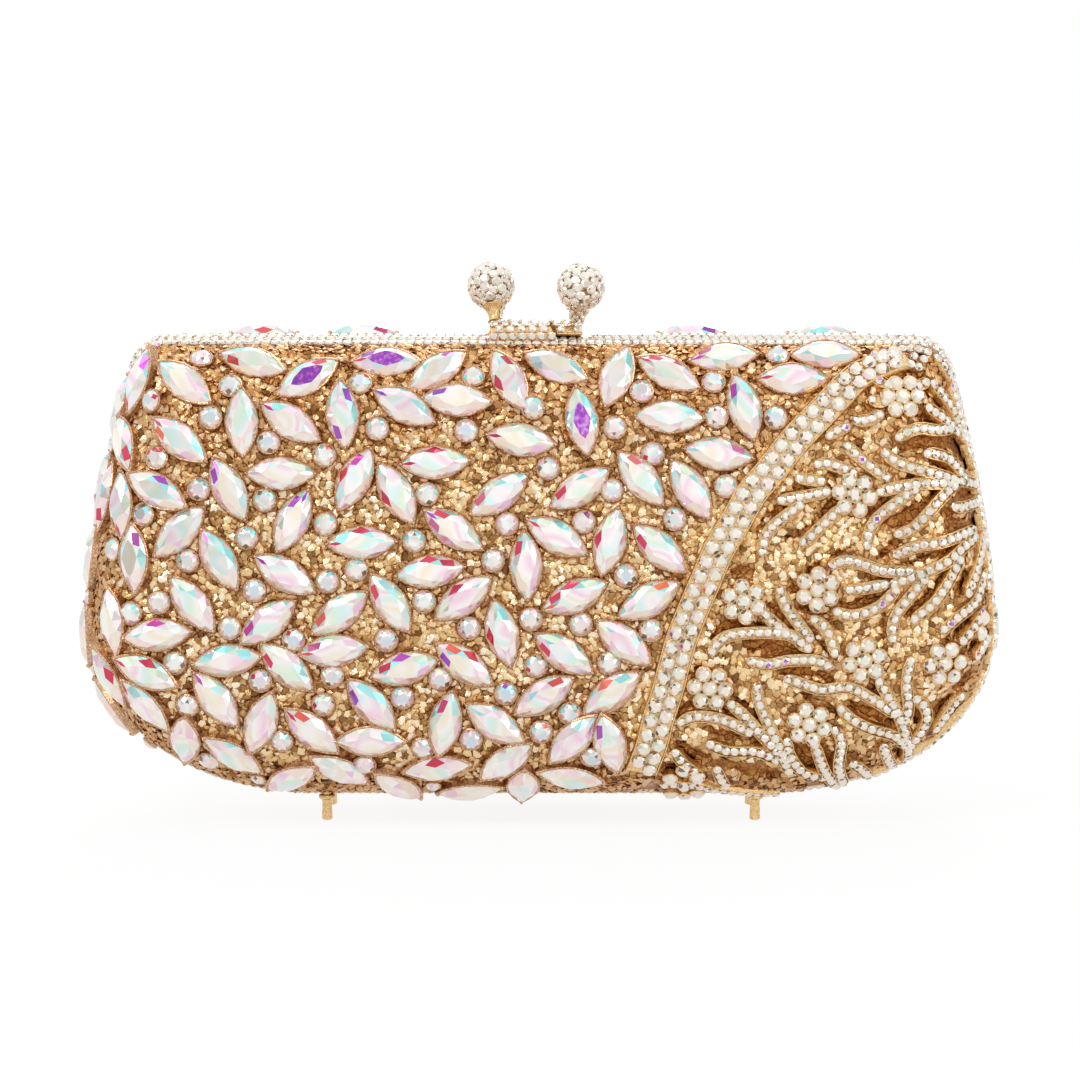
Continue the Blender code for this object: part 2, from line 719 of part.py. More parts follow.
def make_hinge_leaf(side, half, brass, screw_cutters):
    """A flat leaf inside the frame with every second knuckle of the barrel."""
    pitch = HINGE_LENGTH / HINGE_KNUCKLES
    inner = GROOVE_HALF_WIDTH + FIT_GAP
    mesh = box_mesh(side + "_hinge_leaf", (-HINGE_LENGTH / 2, -LEAF_REACH, LEAF_BOTTOM),
                    (HINGE_LENGTH / 2, -inner, LEAF_TOP))
    leaf = add_piece(side + "_hinge_leaf", mesh, half, brass)
    for k in range(0, HINGE_KNUCKLES, 2):
        start = -HINGE_LENGTH / 2 + pitch * k + FIT_GAP / 2
        length = pitch - FIT_GAP
        tongue = box_mesh("tongue", (start, -inner - LEAF_THICKNESS, LEAF_BOTTOM),
                          (start + length, 0.0, LEAF_TOP))
        name = side + "_tongue_" + str(k)
        boolean(leaf, add_cutter(name, tongue, half), "UNION")
        knuckle = cylinder_mesh("knuckle", BARREL_RADIUS, length, ROUND_SIDES, "X")
        name = side + "_knuckle_" + str(k)
        boolean(leaf, add_cutter(name, knuckle, half, (start, 0.0, AXIS_HEIGHT)), "UNION")
    bore_length = HINGE_LENGTH + 2 * OVERRUN
    bore = cylinder_mesh("bore", PIN_RADIUS + PIN_PLAY, bore_length, ROUND_SIDES, "X")
    place = (-bore_length / 2, 0.0, AXIS_HEIGHT)
    boolean(leaf, add_cutter(side + "_pin_bore", bore, half, place), "DIFFERENCE")
    for cutter in screw_cutters:
        boolean(leaf, cutter, "DIFFERENCE")
    return leaf


def screw_places():
    depth = (GROOVE_HALF_WIDTH + FRAME_OUTER) / 2
    return [(HINGE_LENGTH * share, -depth) for share in SCREW_PLACE_SHARES]


def make_screws(side, half, steel):
    """Screws through the leaf into the frame, and the holes that they pass through."""
    holes = []
    head_bottom = LEAF_TOP + FIT_GAP
    shank = head_bottom - (CASE_LIFT + FRAME_BAND / 2)
    for number, (x, y) in enumerate(screw_places(), 1):
        profile = ((SCREW_HEAD_RADIUS, head_bottom + SCREW_HEAD_HEIGHT),
                   (SCREW_HEAD_RADIUS, head_bottom), (SCREW_RADIUS, head_bottom),
                   (SCREW_RADIUS, head_bottom - shank))
        mesh = turned_mesh("hinge_screw", profile, SMALL_SIDES)
        add_piece(side + "_hinge_screw_" + str(number), mesh, half, steel, (x, y, 0.0))
        radius = SCREW_RADIUS + FIT_GAP
        bottom = head_bottom - shank - FIT_GAP
        hole = cylinder_mesh("hole", radius, head_bottom + OVERRUN - bottom, SMALL_SIDES)
        holes.append(add_cutter(side + "_screw_hole_" + str(number), hole, half, (x, y, bottom)))
    return holes


def make_feet(side, half, gold, steel, skin):
    """Two pegs under the half, each with a stud through the wall and a nut inside the lining."""
    bores = []
    upward = Vector((0.0, 0.0, 1.0))
    floor = BVHTree.FromPolygons(*case_skin(LINING_OFFSET + LINING_WALL, LINING_STEPS))
    for name, x in (("left", -FOOT_SPREAD / 2), ("right", FOOT_SPREAD / 2)):
        start = Vector((x, -FOOT_SETBACK, -OVERRUN))
        below, normal, _, _ = skin.ray_cast(start, upward)
        slope = math.hypot(normal.x, normal.y) / abs(normal.z)
        collar_top = below.z - slope * FOOT_COLLAR_RADIUS - FIT_GAP
        tip = FOOT_TIP_CHAMFER
        inside, normal, _, _ = floor.ray_cast(start, upward)
        slope = math.hypot(normal.x, normal.y) / abs(normal.z)
        nut_bottom = inside.z + slope * NUT_RADIUS + FIT_GAP
        stud_top = nut_bottom + NUT_HEIGHT
        profile = ((STUD_RADIUS, stud_top), (STUD_RADIUS, collar_top),
                   (FOOT_COLLAR_RADIUS, collar_top),
                   (FOOT_COLLAR_RADIUS, collar_top - FOOT_COLLAR_HEIGHT),
                   (FOOT_RADIUS, collar_top - FOOT_COLLAR_HEIGHT - tip), (FOOT_RADIUS, tip),
                   (FOOT_RADIUS - tip, 0.0))
        mesh = turned_mesh("foot", profile, SMALL_SIDES)
        place = (x, -FOOT_SETBACK, 0.0)
        add_piece(side + "_foot_" + name, mesh, half, gold, place)
        bore_radius = STUD_RADIUS + FIT_GAP
        nut_mesh = ring_mesh("nut", NUT_RADIUS, bore_radius, nut_bottom, nut_bottom + NUT_HEIGHT)
        add_piece(side + "_foot_nut_" + name, nut_mesh, half, steel, place)
        bore = cylinder_mesh("stud_bore", bore_radius, nut_bottom + OVERRUN, SMALL_SIDES)
        bores.append(add_cutter(side + "_stud_bore_" + name, bore, half, place))
    return bores


def ring_mesh(name, outer, inner, low, high):
    """A hexagon nut: six flats outside, a round bore inside."""
    sides = SMALL_SIDES
    loops = []
    for height, wide in ((low, True), (high, True), (high, False), (low, False)):
        loop = []
        for k in range(sides):
            turn = 2 * math.pi * k / sides
            flat = outer * math.cos(math.pi / 6) / math.cos(turn % (math.pi / 3) - math.pi / 6)
            radius = flat if wide else inner
            loop.append((radius * math.cos(turn), radius * math.sin(turn), height))
        loops.append(loop)
    points = [point for loop in loops for point in loop]
    faces = []
    for row in range(4):
        under = (row + 1) % 4
        for k in range(sides):
            after = (k + 1) % sides
            faces.append((row * sides + k, row * sides + after,
                          under * sides + after, under * sides + k))
    mesh = mesh_from(name, points, faces)
    face_outwards(mesh)
    return mesh


def make_band(side, half, pave, path):
    """The raised strip of small stones that crosses the casting, just clear of its skin."""
    rings = []
    for k, (place, normal, reach) in enumerate(path):
        before = path[max(k - BAND_STEPS, 0)][0]
        after = path[min(k + BAND_STEPS, len(path) - 1)][0]
        beside = normal.cross(after - before).normalized()
        base = place + normal * FIT_GAP
        top = base + normal * BAND_HEIGHT
        rings.append([base - beside * reach, base + beside * reach,
                      top + beside * reach, top - beside * reach])
    mesh = loft_mesh(side + "_pave_band", rings)
    band = add_piece(side + "_pave_band", mesh, half, pave)
    boolean(band, add_cutter(side + "_band_cutter", rim_box("rim"), half), "DIFFERENCE")
    return band


def make_clasp(side, half, gold, pave, across):
    """One half of the kiss lock: a bar over both frames, a neck and a ball. The slit between the two
    bars is slanted in plan, so that the front bar leaves it as it swings forward."""
    middle = CLASP_OFFSET * across
    slit = middle + SLIT_OFFSET * across
    outer_end = middle - CLASP_HALF_LENGTH
    reach = FRAME_OUTER
    rings = []
    for at_slit in (False, True):
        ring = []
        for k in range(BAR_STEPS + 1):
            turn = math.pi * k / BAR_STEPS
            y = -reach * math.cos(turn)
            z = CLASP_BAR_BOTTOM + CLASP_BAR_HEIGHT * math.sin(turn)
            end = slit - y * SLIT_SLANT_SHARE - FIT_GAP if at_slit else outer_end
            ring.append((end, y, z))
        rings.append(ring)
    add_piece(side + "_clasp_bar", loft_mesh(side + "_clasp_bar", rings), half, pave)
    neck_foot = Vector((middle - NECK_FOOT_SPREAD / 2, NECK_FOOT_LEAN, CLASP_BAR_TOP + FIT_GAP))
    ball = Vector((middle - BALL_SPREAD / 2, BALL_LEAN, TOP_HEIGHT + BALL_RISE))
    run = ball - neck_foot
    length = run.length - BALL_RADIUS - FIT_GAP
    cone = cylinder_mesh("neck", NECK_FOOT_RADIUS, length, SMALL_SIDES, top_radius=NECK_HEAD_RADIUS)
    neck = add_piece(side + "_clasp_neck", cone, half, gold if side == "front" else pave, neck_foot)
    neck.rotation_mode = "QUATERNION"
    neck.rotation_quaternion = run.to_track_quat("Z", "Y")
    shape = bmesh.new()
    bmesh.ops.create_uvsphere(shape, u_segments=BALL_SIDES, v_segments=BALL_RINGS,
                              radius=BALL_RADIUS)
    ball_mesh = bpy.data.meshes.new("clasp_ball")
    shape.to_mesh(ball_mesh)
    shape.free()
    smooth(ball_mesh)
    add_piece(side + "_clasp_ball", ball_mesh, half, pave, ball)


def make_pocket(half, suede):
    """A flat slip pocket on the lining of the back half, open along its top."""
    face = face_depth(POCKET_RISE + POCKET_HEIGHT) - LINING_OFFSET - LINING_WALL - FIT_GAP
    mesh = box_mesh("slip_pocket", (-POCKET_WIDTH / 2, -face, POCKET_RISE),
                    (POCKET_WIDTH / 2, POCKET_WALL - face, POCKET_RISE + POCKET_HEIGHT))
    pocket = add_piece("slip_pocket", mesh, half, suede)
    rounding = pocket.modifiers.new("corners", "BEVEL")
    rounding.width = POCKET_EDGE
    rounding.segments = 1
    return pocket


def make_pin(half, steel):
    """The hinge pin, upset to a small head at each end."""
    half_length = HINGE_LENGTH / 2 + FIT_GAP
    profile = ((PIN_HEAD_RADIUS, half_length + PIN_HEAD_LENGTH), (PIN_HEAD_RADIUS, half_length),
               (PIN_RADIUS, half_length), (PIN_RADIUS, -half_length),
               (PIN_HEAD_RADIUS, -half_length), (PIN_HEAD_RADIUS, -half_length - PIN_HEAD_LENGTH))
    mesh = turned_mesh("hinge_pin", profile, ROUND_SIDES)
    pin = add_piece("hinge_pin", mesh, half, steel, (0.0, 0.0, AXIS_HEIGHT))
    pin.rotation_euler = (0.0, math.pi / 2, 0.0)
    return pin


def make_half(side, turn, across, materials):
    gold, pave, suede, steel = materials
    half = bpy.data.objects.new(side + "_half", None)
    parts.objects.link(half)
    half.location = (0.0, 0.0, AXIS_HEIGHT)
    half.rotation_euler = (0.0, 0.0, turn)
    skin = raised_skin(0.0)
    path = band_path()
    taken = [(place, reach + FIT_GAP) for place, _, reach in path]
    for x in (-FOOT_SPREAD / 2, FOOT_SPREAD / 2):
        taken.append((Vector((x, -FOOT_SETBACK, CASE_LIFT)), FOOT_COLLAR_RADIUS + GEM_PROUD))
    relief = relief_mesh(taken)
    bores = make_feet(side, half, gold, steel, skin)
    make_casting(side, half, gold, relief, bores)
    make_lining(side, half, suede, bores)
    holes = make_screws(side, half, steel)
    make_frame(side, half, gold, holes)
    make_hinge_leaf(side, half, gold, holes)
    make_band(side, half, pave, path)
    make_clasp(side, half, gold, pave, across)
    return half


clear_scene()
parts = make_collection("crystal_evening_clutch")
cutters = make_collection("cutters")
finishes = (
    make_material("gold", (0.76, 0.52, 0.24), 1.0, 0.28),
    make_material("pave", (0.93, 0.89, 0.83), 0.0, 0.12),
    make_material("suede", (0.62, 0.50, 0.36), 0.0, 0.85),
    make_material("steel", (0.62, 0.60, 0.57), 1.0, 0.35),
)
front = make_half("front", 0.0, 1, finishes)
back = make_half("back", math.pi, -1, finishes)
make_pin(back, finishes[3])
make_pocket(back, finishes[2])
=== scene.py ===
import math

import bmesh
import bpy
import numpy as np
from mathutils import Matrix, Vector
from mathutils.bvhtree import BVHTree
from mathutils.kdtree import KDTree


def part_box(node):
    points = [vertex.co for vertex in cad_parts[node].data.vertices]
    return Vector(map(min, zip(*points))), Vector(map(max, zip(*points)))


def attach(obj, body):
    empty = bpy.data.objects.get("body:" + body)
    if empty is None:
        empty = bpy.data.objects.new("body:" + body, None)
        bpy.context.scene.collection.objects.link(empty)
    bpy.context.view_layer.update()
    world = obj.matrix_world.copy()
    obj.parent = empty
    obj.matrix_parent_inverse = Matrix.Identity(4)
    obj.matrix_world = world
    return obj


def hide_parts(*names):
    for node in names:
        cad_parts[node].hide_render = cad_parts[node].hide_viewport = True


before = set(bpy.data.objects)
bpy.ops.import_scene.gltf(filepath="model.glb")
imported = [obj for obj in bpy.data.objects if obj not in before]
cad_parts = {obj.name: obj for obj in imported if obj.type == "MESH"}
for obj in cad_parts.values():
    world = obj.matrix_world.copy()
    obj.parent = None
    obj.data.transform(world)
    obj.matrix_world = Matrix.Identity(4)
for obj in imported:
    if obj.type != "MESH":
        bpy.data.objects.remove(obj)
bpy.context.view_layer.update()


# Studio: a pale table under soft light, seen from in front and a little above, as the bag was
# photographed. The table and the room around it are white where the eye looks at them.
VIEW_DISTANCE = 0.85
VIEW_SLOPE = math.radians(6.0)
VIEW_TARGET = Vector((0.0, 0.0, 0.0631))
VIEW_CENTRE_PIXEL = (541, 540)
METRES_PER_PIXEL = 0.0002288
PHOTO_PIXELS = 1080
SENSOR_MM = 36.0
TABLE_REACH = 4.0
LAMPS = (("key", (-0.55, -0.75, 0.95), 0.5, 4.2), ("fill", (0.85, -0.55, 0.45), 0.6, 1.6),
         ("rim", (0.1, 0.8, 0.7), 0.5, 3.0))

forward = Vector((0.0, math.cos(VIEW_SLOPE), -math.sin(VIEW_SLOPE)))
camera_data = bpy.data.cameras.new("photo_view")
camera_data.sensor_width = SENSOR_MM
camera_data.lens = SENSOR_MM * VIEW_DISTANCE / (PHOTO_PIXELS * METRES_PER_PIXEL)
camera = bpy.data.objects.new("photo_view", camera_data)
bpy.context.scene.collection.objects.link(camera)
sideways = (PHOTO_PIXELS / 2 - VIEW_CENTRE_PIXEL[0]) * METRES_PER_PIXEL
camera.location = VIEW_TARGET - forward * VIEW_DISTANCE + Vector((sideways, 0.0, 0.0))
camera.rotation_euler = (math.pi / 2 - VIEW_SLOPE, 0.0, 0.0)
bpy.context.scene.camera = camera
bpy.context.scene.view_settings.view_transform = "Standard"


def feed(tree, node, inputs):
    """Link a node's inputs to sockets, or give them values."""
    for name, value in inputs.items():
        if isinstance(value, bpy.types.NodeSocket):
            tree.links.new(value, node.inputs[name])
        else:
            node.inputs[name].default_value = value


def add(tree, kind, inputs=None, **settings):
    """A new node with its settings and inputs."""
    node = tree.nodes.new(kind)
    for name, value in settings.items():
        setattr(node, name, value)
    feed(tree, node, inputs or {})
    return node


def maths(tree, operation, *values, clamp=False):
    return add(tree, "ShaderNodeMath", dict(enumerate(values)), operation=operation,
               use_clamp=clamp).outputs[0]


def times(tree, first, second):
    return maths(tree, "MULTIPLY", first, second)


world = bpy.data.worlds.new("white_room")
bpy.context.scene.world = world
world.use_nodes = True
tree = world.node_tree
tree.nodes.clear()
heading = add(tree, "ShaderNodeTexCoord").outputs["Generated"]
screens = add(tree, "ShaderNodeTexNoise", {"Vector": heading, "Scale": 3.2, "Detail": 1.0}).outputs[0]
walls = maths(tree, "MULTIPLY_ADD", screens, 3.2, -0.95, clamp=True)
walls = maths(tree, "MULTIPLY_ADD", walls, 0.78, 0.38)
above = add(tree, "ShaderNodeSeparateXYZ", {0: heading}).outputs["Z"]
above = maths(tree, "MULTIPLY_ADD", above, 1.6, -0.3, clamp=True)
walls = maths(tree, "MULTIPLY_ADD", above, 0.35, walls)
room_tone = (1.0, 0.99, 0.98, 1.0)
soft, room, white = (
    add(tree, "ShaderNodeBackground", {"Color": colour, "Strength": strength}).outputs[0]
    for colour, strength in ((room_tone, 0.5), (room_tone, walls), ((1.0, 1.0, 1.0, 1.0), 1.0)))
rays = add(tree, "ShaderNodeLightPath").outputs
mix = add(tree, "ShaderNodeMixShader", {0: rays["Is Glossy Ray"], 1: soft, 2: room}).outputs[0]
mix = add(tree, "ShaderNodeMixShader", {0: rays["Is Camera Ray"], 1: mix, 2: white}).outputs[0]
add(tree, "ShaderNodeOutputWorld", {"Surface": mix})

for name, place, size, power in LAMPS:
    lamp = bpy.data.lights.new(name, "AREA")
    lamp.size = size
    lamp.energy = power
    holder = bpy.data.objects.new(name, lamp)
    bpy.context.scene.collection.objects.link(holder)
    holder.location = place
    holder.rotation_euler = (VIEW_TARGET - Vector(place)).to_track_quat("-Z", "Y").to_euler()

bpy.ops.mesh.primitive_plane_add(size=2 * TABLE_REACH, location=(0.0, 0.0, 0.0))
table = bpy.context.object
table.name = "table_top"
table_white = bpy.data.materials.new("white_table")
table_white.use_nodes = True
tree = table_white.node_tree
tree.nodes.clear()
matt = add(tree, "ShaderNodeBsdfDiffuse", {"Color": (0.93, 0.93, 0.93, 1.0)}).outputs[0]
bright = add(tree, "ShaderNodeEmission", {"Color": (1.0, 1.0, 1.0, 1.0), "Strength": 1.03}).outputs[0]
place = add(tree, "ShaderNodeTexCoord").outputs["Object"]
reach = add(tree, "ShaderNodeVectorMath", {0: place}, operation="LENGTH").outputs["Value"]
paler = maths(tree, "MULTIPLY_ADD", reach, 0.40, 0.86, clamp=True)
rays = add(tree, "ShaderNodeLightPath").outputs
direct = maths(tree, "MAXIMUM", rays["Is Camera Ray"], rays["Is Glossy Ray"])
direct = maths(tree, "MAXIMUM", direct, rays["Is Transmission Ray"])
mix = add(tree, "ShaderNodeMixShader", {0: times(tree, direct, paler), 1: matt, 2: bright}).outputs[0]
add(tree, "ShaderNodeOutputMaterial", {"Surface": mix})
table.data.materials.append(table_white)


# Castings: each half of the case is one zinc casting, plated in gold, with a ground of small
# nuggets. Leaf-shaped hollows lie deeper between the fronds. The back one is the front one turned
# half a turn, but for four crystals of its top edge.
frame_low, frame_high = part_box("front_frame")
CASE_WIDTH = frame_high[0] - frame_low[0]
CASE_LIFT = frame_low[2]
TOP_HEIGHT = frame_high[2]
HALF_DEPTH = 0.0288
CASTING_STEP = 0.0012
CASTING_WALL = 0.0014
RIM_DEPTH = 0.00465
WIDEST_HEIGHT = CASE_LIFT + 0.0385
BOTTOM_FLAT = 0.0520
SIDE_TAPER = 0.0125
TOP_CORNER_RADIUS = 0.0090
LEAST_CORNER_SHARE = 0.33
SIDE_ROUNDING = 0.0160
TOP_ROUNDING = 0.0150
BOTTOM_ROUNDING = 0.0220
FACE_CROWN = 0.0010
TOP_LEAN = 0.0065
TAPER_POWER = 1.6
LEAN_POWER = 2.0
GROUND_COUNT = 860
GROUND_RINGS = 42
FACE_RINGS = 50
FACE_KEEP = 0.56
INNER_RINGS = 8
RIM_FADE = 0.0020
# Painted shade: the ground's gold turns a darker amber towards the face's rounded edges and under the rim
EDGE_SHADE_START = 0.93
EDGE_SHADE_RUN = 0.42
TOP_SHADE_LEVEL = 0.078
TOP_SHADE_RISE = 0.018
TOP_SHADE_SHARE = 0.75
OUTLINE_DETAIL = 60


def case_outline(offset, count):
    """Front view of the case, drawn in by an offset, as equally spaced points from the bottom
    middle round by the right side: a flat bottom, wide lower corners, sides that lean in, small
    upper corners and a level top."""
    half = CASE_WIDTH / 2 - offset
    low = CASE_LIFT + offset
    top = TOP_HEIGHT - offset
    radius = max(TOP_CORNER_RADIUS - offset, TOP_CORNER_RADIUS * LEAST_CORNER_SHARE)
    steps = np.linspace(0.0, 1.0, OUTLINE_DETAIL, endpoint=False)
    turn = steps * math.pi / 2

    def side(height):
        climb = np.maximum(height - WIDEST_HEIGHT, 0.0) / (TOP_HEIGHT - WIDEST_HEIGHT)
        return half - SIDE_TAPER * climb ** TAPER_POWER

    bottom = np.stack([BOTTOM_FLAT * steps, np.full_like(steps, low)], 1)
    lower = np.stack([BOTTOM_FLAT + (half - BOTTOM_FLAT) * np.sin(turn),
                      WIDEST_HEIGHT - (WIDEST_HEIGHT - low) * np.cos(turn)], 1)
    shoulder = top - radius
    heights = WIDEST_HEIGHT + (shoulder - WIDEST_HEIGHT) * steps
    flank = np.stack([side(heights), heights], 1)
    corner = side(shoulder) - radius
    upper = np.stack([corner + radius * np.cos(turn), shoulder + radius * np.sin(turn)], 1)
    level = np.stack([corner * (1 - steps), np.full_like(steps, top)], 1)
    right = np.concatenate([bottom, lower, flank, upper, level, [[0.0, top]]])
    left = right[-2:0:-1] * (-1.0, 1.0)
    loop = np.concatenate([right, left, right[:1]])
    run = np.concatenate([[0.0], np.cumsum(np.linalg.norm(np.diff(loop, axis=0), axis=1))])
    marks = np.linspace(0.0, run[-1], count, endpoint=False)
    return np.stack([np.interp(marks, run, loop[:, 0]), np.interp(marks, run, loop[:, 1])], 1)


def face_depth(height):
    climb = np.maximum(height - WIDEST_HEIGHT, 0.0) / (TOP_HEIGHT - WIDEST_HEIGHT)
    return HALF_DEPTH - FACE_CROWN - TOP_LEAN * climb ** LEAN_POWER


def skin_ring(outline, turn, offset):
    """The outline as it lies on the front half's skin: turn 0 is the rim, a quarter turn the face."""
    draw = 1 - math.cos(turn)
    side_draw = draw * (SIDE_ROUNDING - offset) / (CASE_WIDTH / 2 - offset)
    top_draw = draw * (TOP_ROUNDING - offset) / (TOP_HEIGHT - offset - WIDEST_HEIGHT)
    low_draw = draw * (BOTTOM_ROUNDING - offset) / (WIDEST_HEIGHT - CASE_LIFT - offset)
    rise = outline[:, 1] - WIDEST_HEIGHT
    height = WIDEST_HEIGHT + rise * (1 - np.where(rise > 0, top_draw, low_draw))
    depth = RIM_DEPTH + (face_depth(height) - offset - RIM_DEPTH) * math.sin(turn)
    return np.stack([outline[:, 0] * (1 - side_draw), -depth, height], 1)


def skin_rings(offset, count, ring_count, face_count):
    """Rings of the skin from the rim to the middle line of the face."""
    outline = case_outline(offset, count)
    rings = [skin_ring(outline, turn, offset)
             for turn in np.linspace(0.0, math.pi / 2, ring_count + 1)]
    edge = rings[-1]
    quarter = 4 * np.arange(count) / count
    line = np.where(quarter < 2, 1 - np.abs(quarter - 1), np.abs(quarter - 3) - 1)
    for share in np.linspace(1.0, 0.0, face_count + 1)[1:]:
        height = WIDEST_HEIGHT + (edge[:, 2] - WIDEST_HEIGHT) * share
        across = edge[:, 0] * share + line * edge[:, 0].max() * FACE_KEEP * (1 - share)
        depth = face_depth(height) - offset + FACE_CROWN * (1 - share * share)
        rings.append(np.stack([across, -depth, height], 1))
    return rings


def tube_faces(rows, sides, start=0, closed=False, caps=False):
    """Faces of a tube through rows of points; closed joins its last row to its first, and caps
    close its two ends."""
    faces = []
    for row in range(rows if closed else rows - 1):
        near, far = start + row * sides, start + (row + 1) % rows * sides
        faces += [(near + k, near + (k + 1) % sides, far + (k + 1) % sides, far + k)
                  for k in range(sides)]
    if caps:
        last = start + rows * sides
        faces += [tuple(range(start, start + sides)), tuple(range(last - 1, last - sides - 1, -1))]
    return faces


def loft(rings, closed=True):
    mesh = bpy.data.meshes.new("loft")
    mesh.from_pydata(np.concatenate(rings).tolist(), [],
                     tube_faces(len(rings), len(rings[0]), closed=closed))
    return mesh


def tidy_mesh(mesh):
    """Merge doubles and turn all faces outwards."""
    shape = bmesh.new()
    shape.from_mesh(mesh)
    bmesh.ops.remove_doubles(shape, verts=shape.verts, dist=1e-6)
    bmesh.ops.recalc_face_normals(shape, faces=shape.faces)
    shape.to_mesh(mesh)
    shape.free()
    return mesh


def store(mesh, name, values, domain="POINT", kind="FLOAT"):
    attribute = mesh.attributes.new(name, kind, domain)
    flat = np.asarray(values, dtype=np.float32).ravel()
    attribute.data.foreach_set("vector" if kind == "FLOAT_VECTOR" else "value", flat)


def new_object(name, mesh):
    made = bpy.data.objects.new(name, mesh)
    bpy.context.scene.collection.objects.link(made)
    return made


def ride_half(name, mesh, half, node=None):
    """A finished piece of one half, made in the front half's place."""
    if half == "back":
        mesh.transform(Matrix.Rotation(math.pi, 4, "Z"))
    mesh.name = name
    piece = new_object(name, mesh)
    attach(piece, half + "_half")
    if node:
        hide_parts(node)
    return piece


def on_half(half, name, mesh, node=None):
    return ride_half(half + "_" + name, mesh, half, node and half + "_" + node)


def on_both_halves(name, mesh, node=None):
    """The finished piece of the front half, and its copy turned round for the back half."""
    for half in ("front", "back"):
        on_half(half, name, mesh if half == "front" else mesh.copy(), node)


def to_pixels(places):
    """Where the camera of the photograph sees places."""
    eye = np.array(VIEW_TARGET - forward * VIEW_DISTANCE)
    upward = np.array((0.0, math.sin(VIEW_SLOPE), math.cos(VIEW_SLOPE)))
    run = places - eye
    scale = VIEW_DISTANCE / (run @ np.array(forward)) / METRES_PER_PIXEL
    return np.stack([VIEW_CENTRE_PIXEL[0] + run[:, 0] * scale,
                     VIEW_CENTRE_PIXEL[1] - run @ upward * scale], 1)


# Middle lines of the leaf-shaped hollows in photograph pixels, and their widths
HOLLOW_PIXELS = (
    (9, (898, 371), (915, 368), (926, 378), (935, 393), (948, 413)), (8, (916, 416), (938, 421)),
    (15, (897, 451), (915, 443), (935, 440), (952, 441), (966, 456), (975, 478)),
    (7, (927, 461), (941, 464), (957, 475)), (8, (964, 417), (970, 430), (972, 442)),
    (7, (937, 360), (945, 372), (954, 390)), (5, (818, 472), (830, 474), (842, 478)),
    (7, (900, 479), (916, 473)), (7, (780, 495), (800, 489), (815, 489)),
    (9, (757, 531), (768, 514), (785, 506), (799, 502)), (10, (820, 520), (830, 507), (838, 496)),
    (8, (781, 538), (800, 533), (816, 521)), (10, (726, 576), (745, 570), (759, 578)),
    (8, (790, 578), (793, 588), (799, 597)), (6, (803, 573), (821, 562)), (6, (828, 556), (851, 548)),
    (8, (862, 518), (875, 505), (894, 493)), (16, (881, 526), (905, 519), (922, 505), (941, 488)),
    (9, (953, 500), (963, 494), (975, 490)), (8, (902, 563), (925, 558), (957, 547)),
    (17, (942, 508), (955, 524), (968, 527), (980, 514)), (8, (879, 556), (893, 545), (904, 535)),
    (7, (863, 575), (884, 578)), (13, (836, 604), (850, 608), (868, 602), (887, 589)),
    (9, (903, 618), (918, 606), (934, 591), (948, 568)), (10, (955, 601), (964, 582), (969, 566)),
    (6, (971, 592), (979, 574), (984, 558)), (10, (708, 643), (721, 626), (742, 622), (773, 629)),
    (10, (765, 601), (779, 613), (795, 632)), (18, (741, 643), (765, 648), (788, 646), (810, 655)),
    (10, (779, 672), (800, 670), (822, 674)), (9, (796, 602), (811, 609)), (6, (806, 624), (821, 643)),
    (8, (685, 678), (706, 665)), (8, (676, 713), (690, 706), (709, 704)), (9, (721, 707), (741, 719)),
    (9, (734, 697), (749, 709), (761, 726)), (8, (802, 690), (812, 702)), (6, (823, 611), (839, 629)),
    (7, (820, 640), (831, 658)), (6, (884, 611), (882, 641)), (9, (945, 642), (960, 632), (974, 616)),
    (8, (967, 657), (977, 640), (984, 620)), (9, (950, 693), (964, 682), (976, 664)),
    (8, (866, 683), (883, 698)), (14, (845, 700), (860, 712), (880, 718), (900, 722)),
    (7, (915, 703), (918, 731)), (10, (925, 723), (937, 710), (953, 692)), (8, (941, 728), (961, 702)),
    (9, (818, 673), (833, 681)), (9, (656, 764), (672, 768), (683, 773)),
    (16, (676, 742), (693, 760), (713, 758)), (11, (702, 727), (722, 735), (748, 738)),
    (9, (744, 737), (766, 748)), (15, (722, 762), (745, 771), (765, 771), (784, 779)),
    (9, (638, 790), (661, 785)), (15, (795, 741), (806, 757), (818, 770)), (9, (822, 739), (833, 766)),
    (10, (801, 784), (820, 788), (839, 795)), (9, (850, 783), (867, 784)), (9, (876, 775), (898, 778)),
    (8, (894, 745), (904, 761)), (9, (911, 758), (927, 740)), (8, (826, 704), (840, 719)),
)
HOLLOW_SOFT_SHARE = 0.28


def hollow_share(pixels):
    """How far inside one of the leaf-shaped hollows each pixel lies, from 0 to 1."""
    share = np.zeros(len(pixels))
    for width, *line in HOLLOW_PIXELS:
        line = np.array(line, dtype=float)
        run = np.concatenate([[0.0], np.cumsum(np.linalg.norm(np.diff(line, axis=0), axis=1))])
        marks = np.linspace(0.0, 1.0, 24)
        spine = np.stack([np.interp(marks * run[-1], run, line[:, k]) for k in (0, 1)], 1)
        reach = width / 2 * np.maximum(1 - (2 * marks - 1) ** 2, 0.0) ** 0.6
        near = np.flatnonzero(np.all((pixels > line.min(0) - width) & (pixels < line.max(0) + width), 1))
        apart = np.linalg.norm(pixels[near][:, None] - spine[None], axis=2)
        inside = ((reach - apart) / (width / 2 * HOLLOW_SOFT_SHARE)).max(1) + 0.4
        share[near] = np.maximum(share[near], np.clip(inside, 0.0, 1.0))
    return share


